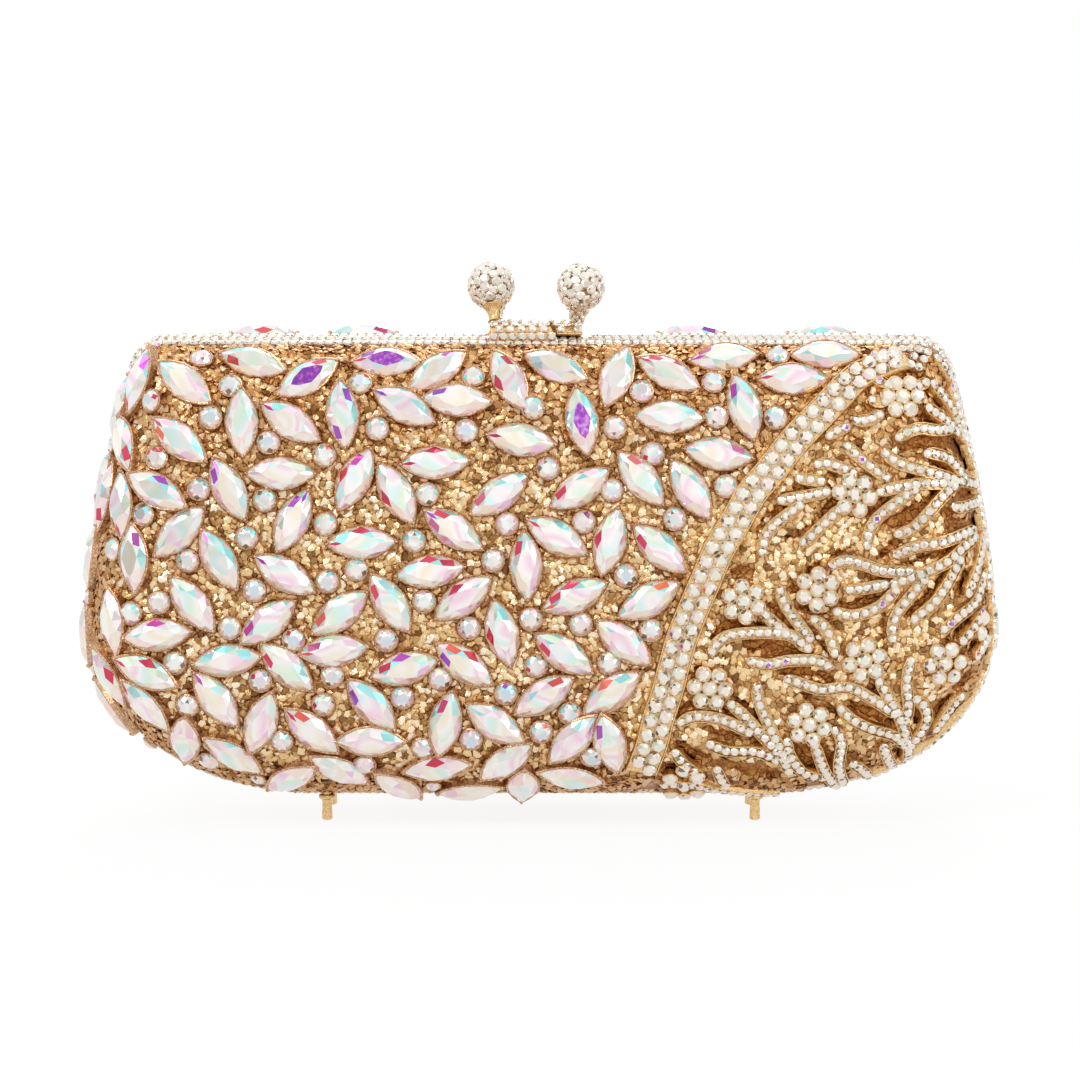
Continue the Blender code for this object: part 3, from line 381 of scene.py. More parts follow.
outer = skin_rings(CASTING_STEP, GROUND_COUNT, GROUND_RINGS, FACE_RINGS)
inner = skin_rings(CASTING_STEP + CASTING_WALL, GROUND_COUNT, INNER_RINGS, INNER_RINGS)
casting = loft(outer[::-1] + inner, closed=False)
is_outer = np.zeros(len(casting.vertices))
is_outer[:GROUND_COUNT * len(outer)] = 1.0
store(casting, "outer", is_outer)
tidy_mesh(casting)
casting_points = np.empty(3 * len(casting.vertices), dtype=np.float32)
casting.vertices.foreach_get("co", casting_points)
casting_points = casting_points.reshape(-1, 3)
is_outer = np.empty(len(casting.vertices), dtype=np.float32)
casting.attributes["outer"].data.foreach_get("value", is_outer)
rim_run = np.clip((-casting_points[:, 1] - RIM_DEPTH) / RIM_FADE, 0.0, 1.0)
store(casting, "relief", is_outer * rim_run)
store(casting, "hollow", hollow_share(to_pixels(casting_points)) * is_outer)
# Painted shade: the gold turns a darker amber towards the rounded edges of the face, and under the rim at
# the top
face_share = (-casting_points[:, 1] - RIM_DEPTH) / (face_depth(casting_points[:, 2]) - RIM_DEPTH)
edge_shade = np.clip((EDGE_SHADE_START - face_share) / EDGE_SHADE_RUN, 0.0, 1.0)
top_shade = np.clip((casting_points[:, 2] - TOP_SHADE_LEVEL) / TOP_SHADE_RISE, 0.0, 1.0) * TOP_SHADE_SHARE
store(casting, "edge_shade", np.maximum(edge_shade, top_shade))


def new_tree(name, *sockets):
    """A Geometry Nodes tree with named inputs (name, socket type, value) and a mesh at each end."""
    tree = bpy.data.node_groups.new(name, "GeometryNodeTree")
    tree.interface.new_socket("Geometry", in_out="INPUT", socket_type="NodeSocketGeometry")
    for label, kind, value in sockets:
        socket = tree.interface.new_socket(label, in_out="INPUT", socket_type=kind)
        if value is not None:
            socket.default_value = value
    tree.interface.new_socket("Geometry", in_out="OUTPUT", socket_type="NodeSocketGeometry")
    return tree, tree.nodes.new("NodeGroupInput").outputs


def grown(source, tree, settings):
    """The plain mesh that a tree makes of a source object, which is used up."""
    step = source.modifiers.new("grow", "NODES")
    step.node_group = tree
    for item in tree.interface.items_tree:
        if item.in_out == "INPUT" and item.name in settings:
            step[item.identifier] = settings[item.name]
    view = bpy.context.evaluated_depsgraph_get()
    mesh = bpy.data.meshes.new_from_object(source.evaluated_get(view), depsgraph=view)
    bpy.data.objects.remove(source, do_unlink=True)
    return mesh


def named(tree, name, kind="FLOAT"):
    return add(tree, "GeometryNodeInputNamedAttribute", {"Name": name}, data_type=kind).outputs[0]


def marked(tree, geometry, name, value, domain="FACE"):
    """The geometry with a number stored under a name."""
    return add(tree, "GeometryNodeStoreNamedAttribute",
               {"Geometry": geometry, "Name": name, "Value": value},
               data_type="FLOAT", domain=domain).outputs[0]


def chance(tree, seed):
    """A random number from 0 to 1 for each element."""
    each = add(tree, "GeometryNodeInputIndex").outputs[0]
    return add(tree, "FunctionNodeRandomValue", {"ID": each, "Seed": seed}, data_type="FLOAT").outputs[1]


def real(tree, geometry):
    return add(tree, "GeometryNodeRealizeInstances", {0: geometry}).outputs[0]


def end_tree(tree, given, geometry, smooth=False):
    """The geometry, shaded and painted, to the tree's output."""
    shaded = add(tree, "GeometryNodeSetShadeSmooth", {0: geometry, "Shade Smooth": smooth})
    painted = add(tree, "GeometryNodeSetMaterial", {0: shaded.outputs[0], "Material": given["Material"]})
    add(tree, "NodeGroupOutput", {0: painted.outputs[0]})


def vectors(tree, operation, inputs):
    return add(tree, "ShaderNodeVectorMath", inputs, operation=operation).outputs[0]


ground_tree, given = new_tree(
    "nugget_ground", ("Nuggets per metre", "NodeSocketFloat", 620.0),
    ("Nugget height", "NodeSocketFloat", 0.00030), ("Swell height", "NodeSocketFloat", 0.00035),
    ("Hollow depth", "NodeSocketFloat", 0.00110), ("Seed", "NodeSocketFloat", 3.0),
    ("Material", "NodeSocketMaterial", None))
tree = ground_tree
cells = add(tree, "ShaderNodeTexVoronoi", {"Scale": given["Nuggets per metre"], "W": given["Seed"]},
            voronoi_dimensions="4D", feature="F1")
dome = times(tree, maths(tree, "SUBTRACT", 0.55, cells.outputs["Distance"]), given["Nugget height"])
swell = add(tree, "ShaderNodeTexNoise", {"Scale": 150.0, "Detail": 2.0, "W": given["Seed"]},
            noise_dimensions="4D").outputs[0]
swell = times(tree, maths(tree, "SUBTRACT", swell, 0.5), given["Swell height"])
hollow = named(tree, "hollow")
height = times(tree, maths(tree, "ADD", dome, swell), maths(tree, "SUBTRACT", 1.0, hollow))
height = maths(tree, "SUBTRACT", height, times(tree, hollow, given["Hollow depth"]))
height = times(tree, height, named(tree, "relief"))
normal = add(tree, "GeometryNodeInputNormal").outputs[0]
moved = add(tree, "GeometryNodeSetPosition",
            {"Geometry": given["Geometry"], "Offset": vectors(tree, "SCALE", {0: normal, "Scale": height})})
end_tree(tree, given, real(tree, moved.outputs[0]), smooth=True)

GOLD_BRIGHT = (0.78, 0.52, 0.24, 1.0)
GOLD_PALE = (0.88, 0.68, 0.40, 1.0)
GOLD_DARK = (0.40, 0.18, 0.055, 1.0)
HOLLOW_DARK = (0.17, 0.045, 0.010, 1.0)
HOLLOW_AMBER = (0.56, 0.25, 0.07, 1.0)
# Tone of the painted shade towards the rounded edges and under the rim
EDGE_SHADE_TONE = (0.56, 0.33, 0.14, 1.0)


def shader_group(name, inputs, **outputs):
    """A shader group with its number inputs and the kinds of its outputs."""
    group = bpy.data.node_groups.new(name, "ShaderNodeTree")
    for label, value in inputs.items():
        socket = group.interface.new_socket(label, in_out="INPUT", socket_type="NodeSocketFloat")
        socket.default_value = value
    for label, kind in outputs.items():
        group.interface.new_socket(label, in_out="OUTPUT", socket_type="NodeSocket" + kind)
    return group, group.nodes.new("NodeGroupInput").outputs


def ramp(tree, factor, *stops):
    node = add(tree, "ShaderNodeValToRGB", {"Fac": factor})
    while len(node.color_ramp.elements) < len(stops):
        node.color_ramp.elements.new(0.5)
    for element, (place, colour) in zip(node.color_ramp.elements, stops):
        element.position = place
        element.color = colour
    return node.outputs["Color"]


def blend_colours(tree, factor, first, second, mode="MIX"):
    return add(tree, "ShaderNodeMix", {0: factor, 6: first, 7: second}, data_type="RGBA",
               blend_type=mode, clamp_factor=True).outputs[2]


def tinged(tree, tone, colour, where, weight):
    """The tone times a colour where a value says so, at most by a weight."""
    return blend_colours(tree, times(tree, where, weight), tone, colour, "MULTIPLY")


def object_noise(tree, scale, detail, output=0, **more):
    place = add(tree, "ShaderNodeTexCoord").outputs["Object"]
    inputs = {"Vector": place, "Scale": scale, "Detail": detail, **more}
    return add(tree, "ShaderNodeTexNoise", inputs).outputs[output]


def read(tree, name):
    return add(tree, "ShaderNodeAttribute", attribute_name=name).outputs["Fac"]


def new_material(name):
    material = bpy.data.materials.new(name)
    material.use_nodes = True
    return material, material.node_tree, material.node_tree.nodes["Principled BSDF"]


# Grain of plated gold: cells of metal with fine joints, a tilt of each cell and small crumbs
grain, given = shader_group(
    "gold_grain", {"Cells per metre": 700.0, "Joint width": 0.10, "Tilt": 0.5},
    Joint="Float", Shade="Float", Height="Float", Normal="Vector")
place = add(grain, "ShaderNodeTexCoord").outputs["Object"]
wobble = object_noise(grain, 900.0, 2.0, "Color")
bent = vectors(grain, "MULTIPLY_ADD", {0: wobble, 1: (0.0009, 0.0009, 0.0009), 2: place})
cells = add(grain, "ShaderNodeTexVoronoi", {"Vector": bent, "Scale": given["Cells per metre"]}).outputs
edges = add(grain, "ShaderNodeTexVoronoi", {"Vector": bent, "Scale": given["Cells per metre"]},
            feature="DISTANCE_TO_EDGE").outputs
crumbs = add(grain, "ShaderNodeTexVoronoi",
             {"Vector": bent, "Scale": times(grain, given["Cells per metre"], 3.1)}).outputs
joint = maths(grain, "SUBTRACT", 1.0, maths(grain, "DIVIDE", edges["Distance"], given["Joint width"]),
              clamp=True)
shade = add(grain, "ShaderNodeSeparateColor", {"Color": cells["Color"]}).outputs[0]
crumb_shade = add(grain, "ShaderNodeSeparateColor", {"Color": crumbs["Color"]}).outputs[1]
shade = maths(grain, "ADD", times(grain, shade, 0.6), times(grain, crumb_shade, 0.4))
height = maths(grain, "SUBTRACT", times(grain, crumbs["Distance"], -0.25), joint)
away = add(grain, "ShaderNodeMix", {0: 0.55, 4: cells["Color"], 5: crumbs["Color"]},
           data_type="VECTOR").outputs[1]
away = vectors(grain, "SUBTRACT", {0: away, 1: (0.5, 0.5, 0.5)})
away = vectors(grain, "SCALE", {0: away, "Scale": given["Tilt"]})
facing = add(grain, "ShaderNodeNewGeometry").outputs["Normal"]
facing = vectors(grain, "NORMALIZE", {0: vectors(grain, "ADD", {0: facing, 1: away})})
add(grain, "NodeGroupOutput", {"Joint": joint, "Shade": shade, "Height": height, "Normal": facing})


def gold_material(name, cells_per_metre, joint_width, tilt, bright, dark, roughness, bump=0.0002,
                  hollow=False, pale=GOLD_PALE):
    """Plated gold whose grain, joints and tone come from the grain group; the ground's also has hollows and
    painted shade.
    """
    material, tree, shader = new_material(name)
    group = add(tree, "ShaderNodeGroup", {"Cells per metre": cells_per_metre, "Joint width": joint_width,
                                          "Tilt": tilt}, node_tree=grain).outputs
    tone = ramp(tree, group["Shade"], (0.12, dark), (0.45, bright), (0.85, pale))
    tone = blend_colours(tree, group["Joint"], tone, dark)
    facing = group["Normal"]
    if hollow:
        deep = read(tree, "hollow")
        cloud = maths(tree, "SUBTRACT", object_noise(tree, 170.0, 3.0), 0.44)
        patch = maths(tree, "MULTIPLY", cloud, 5.0, clamp=True)
        tone = tinged(tree, tone, dark, patch, 0.55)
        tone = tinged(tree, tone, GOLD_DARK, read(tree, "shadow"), 0.75)
        # Painted shade: darker amber towards the rounded edges and under the rim
        tone = tinged(tree, tone, EDGE_SHADE_TONE, read(tree, "edge_shade"), 0.8)
        floor_tone = blend_colours(tree, group["Shade"], HOLLOW_DARK, HOLLOW_AMBER)
        tone = blend_colours(tree, deep, tone, floor_tone)
        straight = add(tree, "ShaderNodeNewGeometry").outputs["Normal"]
        facing = add(tree, "ShaderNodeMix", {0: times(tree, deep, 0.8), 4: facing, 5: straight},
                     data_type="VECTOR").outputs[1]
    ridge = add(tree, "ShaderNodeBump", {"Height": group["Height"], "Strength": 0.8, "Distance": bump,
                                         "Normal": facing}).outputs[0]
    rough = maths(tree, "ADD", roughness, times(tree, group["Shade"], 0.12))
    feed(tree, shader, {"Base Color": tone, "Metallic": 1.0, "Roughness": rough, "Normal": ridge})
    return material


ground_gold = gold_material("nugget_gold", 640.0, 0.14, 0.85, GOLD_BRIGHT, GOLD_DARK, 0.26, hollow=True)
polished_gold = gold_material("polished_gold", 2600.0, 0.05, 0.05, GOLD_BRIGHT, (0.62, 0.38, 0.15, 1.0),
                              0.16, 0.00002)
cup_gold = gold_material("cup_gold", 2600.0, 0.05, 0.10, (0.60, 0.36, 0.20, 1.0), (0.36, 0.19, 0.10, 1.0),
                         0.18, 0.00003, pale=(0.80, 0.56, 0.38, 1.0))


# Pointed crystals: glass stones cut as pointed ovals, with an iridescent coat, each held in a
# gold cup whose lip closes over its girdle and by a claw at each point.
CRYSTAL_LENGTH = 0.0155
CRYSTAL_WIDTH = 0.0073
CRYSTAL_HEIGHT = 0.0029
EDGE_DEPTH = 0.012
STEEP_RISE = 0.35
STAND_UP_SHARE = 0.7
TOP_EDGE_PIXEL = 360
EDGE_STAND_DEPTH = 0.0087
EDGE_STAND_HEIGHT = 0.0018
CLAW = (0.0013, 0.0010, 0.0022)
CLAW_LEVEL = 0.28
CLAW_INSET = 0.0001
LEVEL_RISE = 0.999
CRYSTAL_PIXELS = (
    (252, 358, -15), (183, 380, -37), (307, 375, 30), (386, 358, 0), (437, 367, 33), (509, 377, -62),
    (556, 363, -22), (617, 373, 68), (669, 370, -26), (724, 353, 6), (826, 350, 0), (793, 376, 0),
    (745, 406, -74), (241, 421, 92), (290, 421, -32), (342, 413, -85), (404, 405, -28),
    (457, 398, -3), (521, 439, -8), (582, 420, -80), (670, 416, -2), (719, 453, -8), (177, 439, -38),
    (228, 489, -62), (280, 473, 0), (354, 479, 62), (396, 493, -60), (435, 462, 3), (499, 494, 35),
    (580, 488, 33), (641, 478, -50), (691, 489, -57), (154, 490, -28), (178, 532, 45),
    (218, 560, -60), (129, 558, -87), (292, 521, 63), (361, 543, 2), (453, 530, -34),
    (557, 537, -30), (610, 542, 76), (660, 549, -42), (284, 575, -31), (430, 572, 8),
    (526, 566, -87), (191, 605, -52), (339, 614, 37), (390, 604, -57), (463, 599, 37),
    (575, 597, 23), (649, 601, 30), (267, 623, 38), (156, 636, 6), (226, 662, 7), (286, 669, -43),
    (333, 652, 6), (404, 670, 15), (464, 666, -37), (502, 634, -76), (564, 655, -34),
    (624, 644, -39), (143, 675, -23), (141, 710, -48), (215, 701, -52), (260, 726, 70),
    (311, 734, -41), (371, 707, -48), (370, 745, 0), (445, 726, 78), (495, 726, -34),
    (544, 698, 33), (612, 695, 37), (573, 743, 47), (610, 748, -75), (182, 746, 85),
    (231, 761, -33), (339, 776, -28), (290, 785, 30), (437, 774, 8), (506, 767, 38),
    (398, 793, -35), (470, 798, 8), (523, 793, 85), (571, 784, -10), (132, 378, 73),
    (117, 442, -74), (115, 504, -88), (98, 495, 77), (106, 622, -82), (102, 680, -60),
)


def skin_tree(height):
    """The casting's skin moved out by a height, for rays to meet."""
    count, ring_count = 300, 20
    rings = skin_rings(CASTING_STEP - height, count, ring_count, ring_count)
    return BVHTree.FromPolygons(np.concatenate(rings).tolist(), tube_faces(len(rings), count))


def seat_under(skin, height, across, down):
    """Where the thing of this height that the eye sees at a pixel stands on the casting, and the
    outward normal there. A pixel past the edge goes to the nearest place on the edge."""
    eye = VIEW_TARGET - forward * VIEW_DISTANCE
    upward = Vector((0.0, math.sin(VIEW_SLOPE), math.cos(VIEW_SLOPE)))
    right = (across - VIEW_CENTRE_PIXEL[0]) * METRES_PER_PIXEL
    up = (VIEW_CENTRE_PIXEL[1] - down) * METRES_PER_PIXEL
    direction = (forward * VIEW_DISTANCE + upward * up + Vector((right, 0.0, 0.0))).normalized()
    place, normal, _, _ = skin.ray_cast(eye, direction)
    if place is None:
        beside = eye + direction * ((-EDGE_DEPTH - eye.y) / direction.y)
        place, normal, _, _ = skin.find_nearest(beside)
    if normal.y > 0:
        normal = -normal
    return place - normal * height, normal


def seat_beside(skin, height, depth, level, side=1):
    """The same for a depth and height on the right (1) or left (-1) side of the half."""
    start = Vector((side * CASE_WIDTH, -depth, level))
    place, normal, _, _ = skin.ray_cast(start, Vector((-side, 0.0, 0.0)))
    if normal.x * side < 0:
        normal = -normal
    return place - normal * height, normal


def along_side(normal, degrees):
    """The direction on the skin that is turned by degrees from upright, seen from the side."""
    turn = math.radians(degrees)
    along = Vector((0.0, math.sin(turn), math.cos(turn)))
    return (along - normal * along.dot(normal)).normalized()


def along_skin(normal, degrees):
    """The direction on the skin that the eye sees turned by degrees from level."""
    turn = math.radians(degrees)
    along = Vector((math.cos(turn), 0.0, math.sin(turn)))
    along.y = -along.dot(normal) / normal.y
    return along.normalized()


def pointed_outline(count):
    """Half-unit outline of a pointed oval, from one point round to it again."""
    shape = []
    for k in range(count):
        x = math.cos(2 * math.pi * k / count)
        shape.append((x / 2, math.copysign((1 - x * x) / 2, math.sin(2 * math.pi * k / count))))
    return shape


def round_outline(count):
    return [(math.cos(2 * math.pi * k / count) / 2, math.sin(2 * math.pi * k / count) / 2)
            for k in range(count)]


ZONE_GIRDLE, ZONE_KITE, ZONE_STAR, ZONE_TABLE = 1.0, 2.0, 3.0, 4.0


lent_shapes = []


def lent(name, mesh):
    """An object that only lends its shape to the seats, and goes at the end."""
    shape = new_object(name, mesh)
    shape.hide_render = True
    lent_shapes.append(shape)
    return shape


def ball(subdivisions, radius=0.5):
    shape = bmesh.new()
    bmesh.ops.create_icosphere(shape, subdivisions=subdivisions, radius=radius)
    mesh = bpy.data.meshes.new("ball")
    shape.to_mesh(mesh)
    shape.free()
    return mesh


def cut_stone(name, outline, foot, girdle, waist, table_share, waist_share):
    """A brilliant-cut stone of unit size, standing on z 0: a table, star facets, kites, girdle
    facets and a tapered foot. A face attribute says which is which."""
    def ring(share, height, first=0, step=1):
        return [(x * share, y * share, height) for x, y in outline[first::step]]

    count = len(outline)
    half = count // 2
    points = ring(0.86, foot) + ring(1.0, girdle) + ring(waist_share, waist, 1, 2)
    points += ring(table_share, 1.0, 0, 2)
    first_middle, first_table = 2 * count, 2 * count + half
    faces = [(tuple(range(count)), 0.0), (tuple(range(first_table, first_table + half)), ZONE_TABLE)]
    for k in range(count):
        after = (k + 1) % count
        faces.append(((k, after, count + after, count + k), 0.0))
        faces.append(((count + k, count + after, first_middle + k // 2), ZONE_GIRDLE))
    for k in range(half):
        table, middle = first_table + k, first_middle + k
        faces.append(((table, first_middle + (k - 1) % half, count + 2 * k, middle), ZONE_KITE))
        faces.append(((table, middle, first_table + (k + 1) % half), ZONE_STAR))
    mesh = bpy.data.meshes.new(name)
    mesh.from_pydata(points, [], [corners for corners, _ in faces])
    store(mesh, "zone", [zone for _, zone in faces], "FACE")
    return lent(name, tidy_mesh(mesh))


def cup(name, outline, lip, wall, foot):
    """A cup of unit size round a stone's girdle, with a lip that leans in over it."""
    levels = ((1 + wall, foot), (1 + wall, lip * 0.8), (1 + wall * 0.4, lip), (0.97, lip * 0.97),
              (0.97, foot))
    return lent(name, tidy_mesh(loft([np.array([(x * share, y * share, height) for x, y in outline])
                                      for share, height in levels])))


# One tree sets a stone, a cup or a claw on every seat, turned and sized as the seat says
stones_tree, given = new_tree(
    "set_on_seats", ("Shape", "NodeSocketObject", None), ("Seed", "NodeSocketInt", 0),
    ("Material", "NodeSocketMaterial", None))
tree = stones_tree
shape = add(tree, "GeometryNodeObjectInfo", {"Object": given["Shape"]})
rotation = add(tree, "FunctionNodeAxesToRotation",
               {0: named(tree, "out", "FLOAT_VECTOR"), 1: named(tree, "along", "FLOAT_VECTOR")},
               primary_axis="Z", secondary_axis="X").outputs[0]
placed = add(tree, "GeometryNodeInstanceOnPoints",
             {"Points": given["Geometry"], "Instance": shape.outputs["Geometry"],
              "Rotation": rotation, "Scale": named(tree, "size", "FLOAT_VECTOR")}).outputs[0]
stones = real(tree, marked(tree, placed, "tint", chance(tree, given["Seed"]), "INSTANCE"))
stones = marked(tree, stones, "fire", chance(tree, maths(tree, "ADD", given["Seed"], 1.0)))
facing = add(tree, "GeometryNodeInputNormal").outputs[0]
facing = add(tree, "ShaderNodeSeparateXYZ", {0: facing}).outputs
stones = marked(tree, marked(tree, stones, "lift", facing["Z"]), "slant", facing["X"])
end_tree(tree, given, stones)


def set_stones(seats, shape, material, seed=0):
    """A shape on every seat (place, outward normal, long axis, size)."""
    mesh = bpy.data.meshes.new("seats")
    mesh.from_pydata([tuple(seat[0]) for seat in seats], [], [])
    for column, name in enumerate(("out", "along", "size"), 1):
        store(mesh, name, [tuple(seat[column]) for seat in seats], kind="FLOAT_VECTOR")
    settings = {"Shape": shape, "Seed": seed, "Material": material}
    return grown(new_object("seats", mesh), stones_tree, settings)


# Colours of the iridescent coat: soft tints across the table, and on the other facets painted
# reflections: white and pale blue on facets that face up, cream to peach below, and a strong red
# or violet painted glint on a few facets that face up and left
COAT_WHITE = (0.99, 0.95, 0.93, 1.0)
COAT_BLUE = (0.36, 0.83, 0.84, 1.0)
COAT_CREAM = (0.92, 0.81, 0.64, 1.0)
COAT_GREEN = (0.66, 0.83, 0.60, 1.0)
COAT_PINK = (0.88, 0.56, 0.80, 1.0)
TABLE_CREAM = (0.95, 0.86, 0.69, 1.0)
TABLE_GREEN = (0.76, 0.92, 0.74, 1.0)
TABLE_PINK = (0.96, 0.68, 0.82, 1.0)
TABLE_BLUE = (0.74, 0.93, 0.94, 1.0)
COAT_PEACH = (0.96, 0.74, 0.63, 1.0)
COAT_VIOLET = (0.27, 0.05, 0.55, 1.0)
COAT_LILAC = (0.55, 0.46, 0.80, 1.0)
COAT_STEEL = (0.36, 0.44, 0.60, 1.0)
COAT_TEAL = (0.16, 0.48, 0.52, 1.0)
GLINT_RED = (0.66, 0.03, 0.09, 1.0)
GLINT_MAGENTA = (0.56, 0.02, 0.36, 1.0)
GLINT_ORANGE = (0.86, 0.17, 0.06, 1.0)
PAVE_CREAM = (0.92, 0.82, 0.67, 1.0)
PAVE_DARK = (0.26, 0.17, 0.11, 1.0)
HIGH_LEVEL = 0.082
fire_group, given = shader_group(
    "coat_tints_and_painted_glints", {"Fire": 0.5, "Tint": 0.5, "Lift": 0.0, "Slant": 0.0, "Zone": 0.0,
                        "Glint share": 0.1, "Dark share": 0.0, "Cream": 0.0, "Cool": 0.0,
                        "Violet share": 0.08}, Colour="Color")
tree = fire_group
drift = object_noise(tree, 85.0, 0.0)
spread = maths(tree, "ADD", times(tree, given["Fire"], 7.3), times(tree, drift, 0.5))
spread = maths(tree, "FRACT", spread)
above = ramp(tree, spread, (0.0, COAT_WHITE), (0.24, TABLE_PINK), (0.38, COAT_WHITE), (0.46, COAT_BLUE),
             (0.60, COAT_BLUE), (0.68, COAT_WHITE), (0.86, COAT_GREEN), (1.0, COAT_WHITE))
below = ramp(tree, spread, (0.0, COAT_PEACH), (0.22, COAT_CREAM), (0.45, COAT_WHITE), (0.62, COAT_PEACH),
             (0.78, COAT_PINK), (0.90, COAT_WHITE), (1.0, COAT_PEACH))
# Painted reflection: facets that face up take the whiter and bluer colours, facets below cream and peach
rise = maths(tree, "MULTIPLY_ADD", given["Lift"], 2.4, 0.45, clamp=True)
bevel = blend_colours(tree, rise, below, above)
sweep = maths(tree, "MULTIPLY_ADD", drift, 2.6, times(tree, given["Tint"], 5.7))
sweep = maths(tree, "FRACT", sweep)
warm_table = ramp(tree, sweep, (0.0, TABLE_CREAM), (0.14, COAT_WHITE), (0.32, TABLE_GREEN),
                  (0.46, TABLE_BLUE), (0.56, COAT_WHITE), (0.70, TABLE_PINK), (0.82, COAT_WHITE),
                  (1.0, TABLE_CREAM))
cool_table = ramp(tree, sweep, (0.0, COAT_STEEL), (0.22, COAT_WHITE), (0.40, COAT_LILAC),
                  (0.58, COAT_TEAL), (0.74, COAT_CREAM), (1.0, COAT_STEEL))
face = blend_colours(tree, given["Cool"], warm_table, cool_table)
is_table = maths(tree, "GREATER_THAN", given["Zone"], 3.5)
pale = blend_colours(tree, is_table, bevel, face)
pale = blend_colours(tree, given["Cream"], pale, PAVE_CREAM)
is_bevel = times(tree, maths(tree, "GREATER_THAN", given["Zone"], 0.5),
                 maths(tree, "LESS_THAN", given["Zone"], 3.5))
dark = maths(tree, "LESS_THAN", maths(tree, "FRACT", times(tree, given["Fire"], 11.0)),
             given["Dark share"])
pale = blend_colours(tree, times(tree, dark, is_bevel), pale, PAVE_DARK)
# Painted glint: a strong red or violet on a few kite facets that face up and left
glint = ramp(tree, maths(tree, "FRACT", times(tree, given["Fire"], 37.0)), (0.0, GLINT_RED),
              (0.38, GLINT_RED), (0.50, GLINT_MAGENTA), (0.72, COAT_VIOLET), (0.86, GLINT_ORANGE),
              (1.0, GLINT_RED))
chosen = maths(tree, "GREATER_THAN", given["Fire"], maths(tree, "SUBTRACT", 1.0, given["Glint share"]))
upright = maths(tree, "MULTIPLY_ADD", given["Slant"], -0.7, given["Lift"])
chosen = times(tree, chosen, maths(tree, "GREATER_THAN", upright, 0.12))
chosen = times(tree, chosen, maths(tree, "COMPARE", given["Zone"], ZONE_KITE, 0.3))
colour = blend_colours(tree, chosen, pale, glint)
violet = maths(tree, "GREATER_THAN", given["Tint"], maths(tree, "SUBTRACT", 1.0, given["Violet share"]))
violet_face = ramp(tree, object_noise(tree, 900.0, 2.0), (0.36, COAT_VIOLET),
                   (0.50, (0.46, 0.06, 0.60, 1.0)), (0.66, (0.70, 0.34, 0.80, 1.0)))
colour = blend_colours(tree, times(tree, is_table, violet), colour, violet_face)
add(tree, "NodeGroupOutput", {"Colour": colour})


def crystal_material(name, glint_share, dark_share=0.0, cream=0.0, cool=0.0, violet_share=0.08,
                     roughness=0.07, high_violet=0.0):
    """Coated glass, with a further share of violet tables high up on the case."""
    material, tree, shader = new_material(name)
    if high_violet:
        place = add(tree, "ShaderNodeTexCoord").outputs["Object"]
        level = add(tree, "ShaderNodeSeparateXYZ", {0: place}).outputs["Z"]
        high = maths(tree, "GREATER_THAN", level, HIGH_LEVEL)
        violet_share = maths(tree, "MULTIPLY_ADD", high, high_violet, violet_share)
    inputs = {label: read(tree, label.lower()) for label in ("Fire", "Tint", "Lift", "Slant", "Zone")}
    inputs.update({"Glint share": glint_share, "Dark share": dark_share, "Cream": cream,
                   "Cool": cool, "Violet share": violet_share})
    colour = add(tree, "ShaderNodeGroup", inputs, node_tree=fire_group).outputs["Colour"]
    feed(tree, shader, {"Base Color": colour, "Metallic": 0.5, "Roughness": roughness, "IOR": 1.58,
                        "Coat Weight": 0.35, "Coat Roughness": 0.02, "Coat IOR": 1.6})
    return material


# Crystals on the left side of the half: depth, height and turn from upright
SIDE_CRYSTALS = ((0.0083, 0.0250, 14.0), (0.0084, 0.0425, -10.0), (0.0083, 0.0600, 9.0),
                 (0.0084, 0.0775, -12.0), (0.0083, 0.0945, 8.0))
bright_crystal = crystal_material("bright_crystal", 0.34, violet_share=0.0, high_violet=0.205)
pointed_stone = cut_stone("pointed_stone", pointed_outline(16), 0.12, 0.42, 0.77, 0.54, 0.78)
pointed_cup = cup("pointed_cup", pointed_outline(16), 0.50, 0.09, -0.32)
tall_cup = cup("tall_cup", pointed_outline(16), 0.50, 0.09, -0.85)
claw_shape = ball(2)
claw_shape.shade_smooth()
claw = lent("claw", claw_shape)
crown_skin = skin_tree(CRYSTAL_HEIGHT)


def seat_crystals(half):
    """Seats of one half's pointed crystals; those on the back one's top edge lie level, so that
    they show above the rim."""
    size = (CRYSTAL_LENGTH, CRYSTAL_WIDTH, CRYSTAL_HEIGHT)
    seats = []
    for across, down, degrees in CRYSTAL_PIXELS:
        place, normal = seat_under(crown_skin, CRYSTAL_HEIGHT, across, down)
        if half == "back" and down < TOP_EDGE_PIXEL:
            place = Vector((place.x, -EDGE_STAND_DEPTH, TOP_HEIGHT + EDGE_STAND_HEIGHT - CRYSTAL_HEIGHT))
            seats.append((place, Vector((0.0, 0.0, 1.0)), Vector((1.0, 0.0, 0.0)), size))
            continue
        if normal.z > STEEP_RISE:
            crown = place + normal * CRYSTAL_HEIGHT
            normal = (normal - forward * STAND_UP_SHARE).normalized()
            place = crown - normal * CRYSTAL_HEIGHT
        seats.append((place, normal, along_skin(normal, degrees), size))
    for depth, level, degrees in SIDE_CRYSTALS:
        place, normal = seat_beside(crown_skin, CRYSTAL_HEIGHT, depth, level, -1)
        seats.append((place, normal, along_side(normal, degrees), size))
    return seats


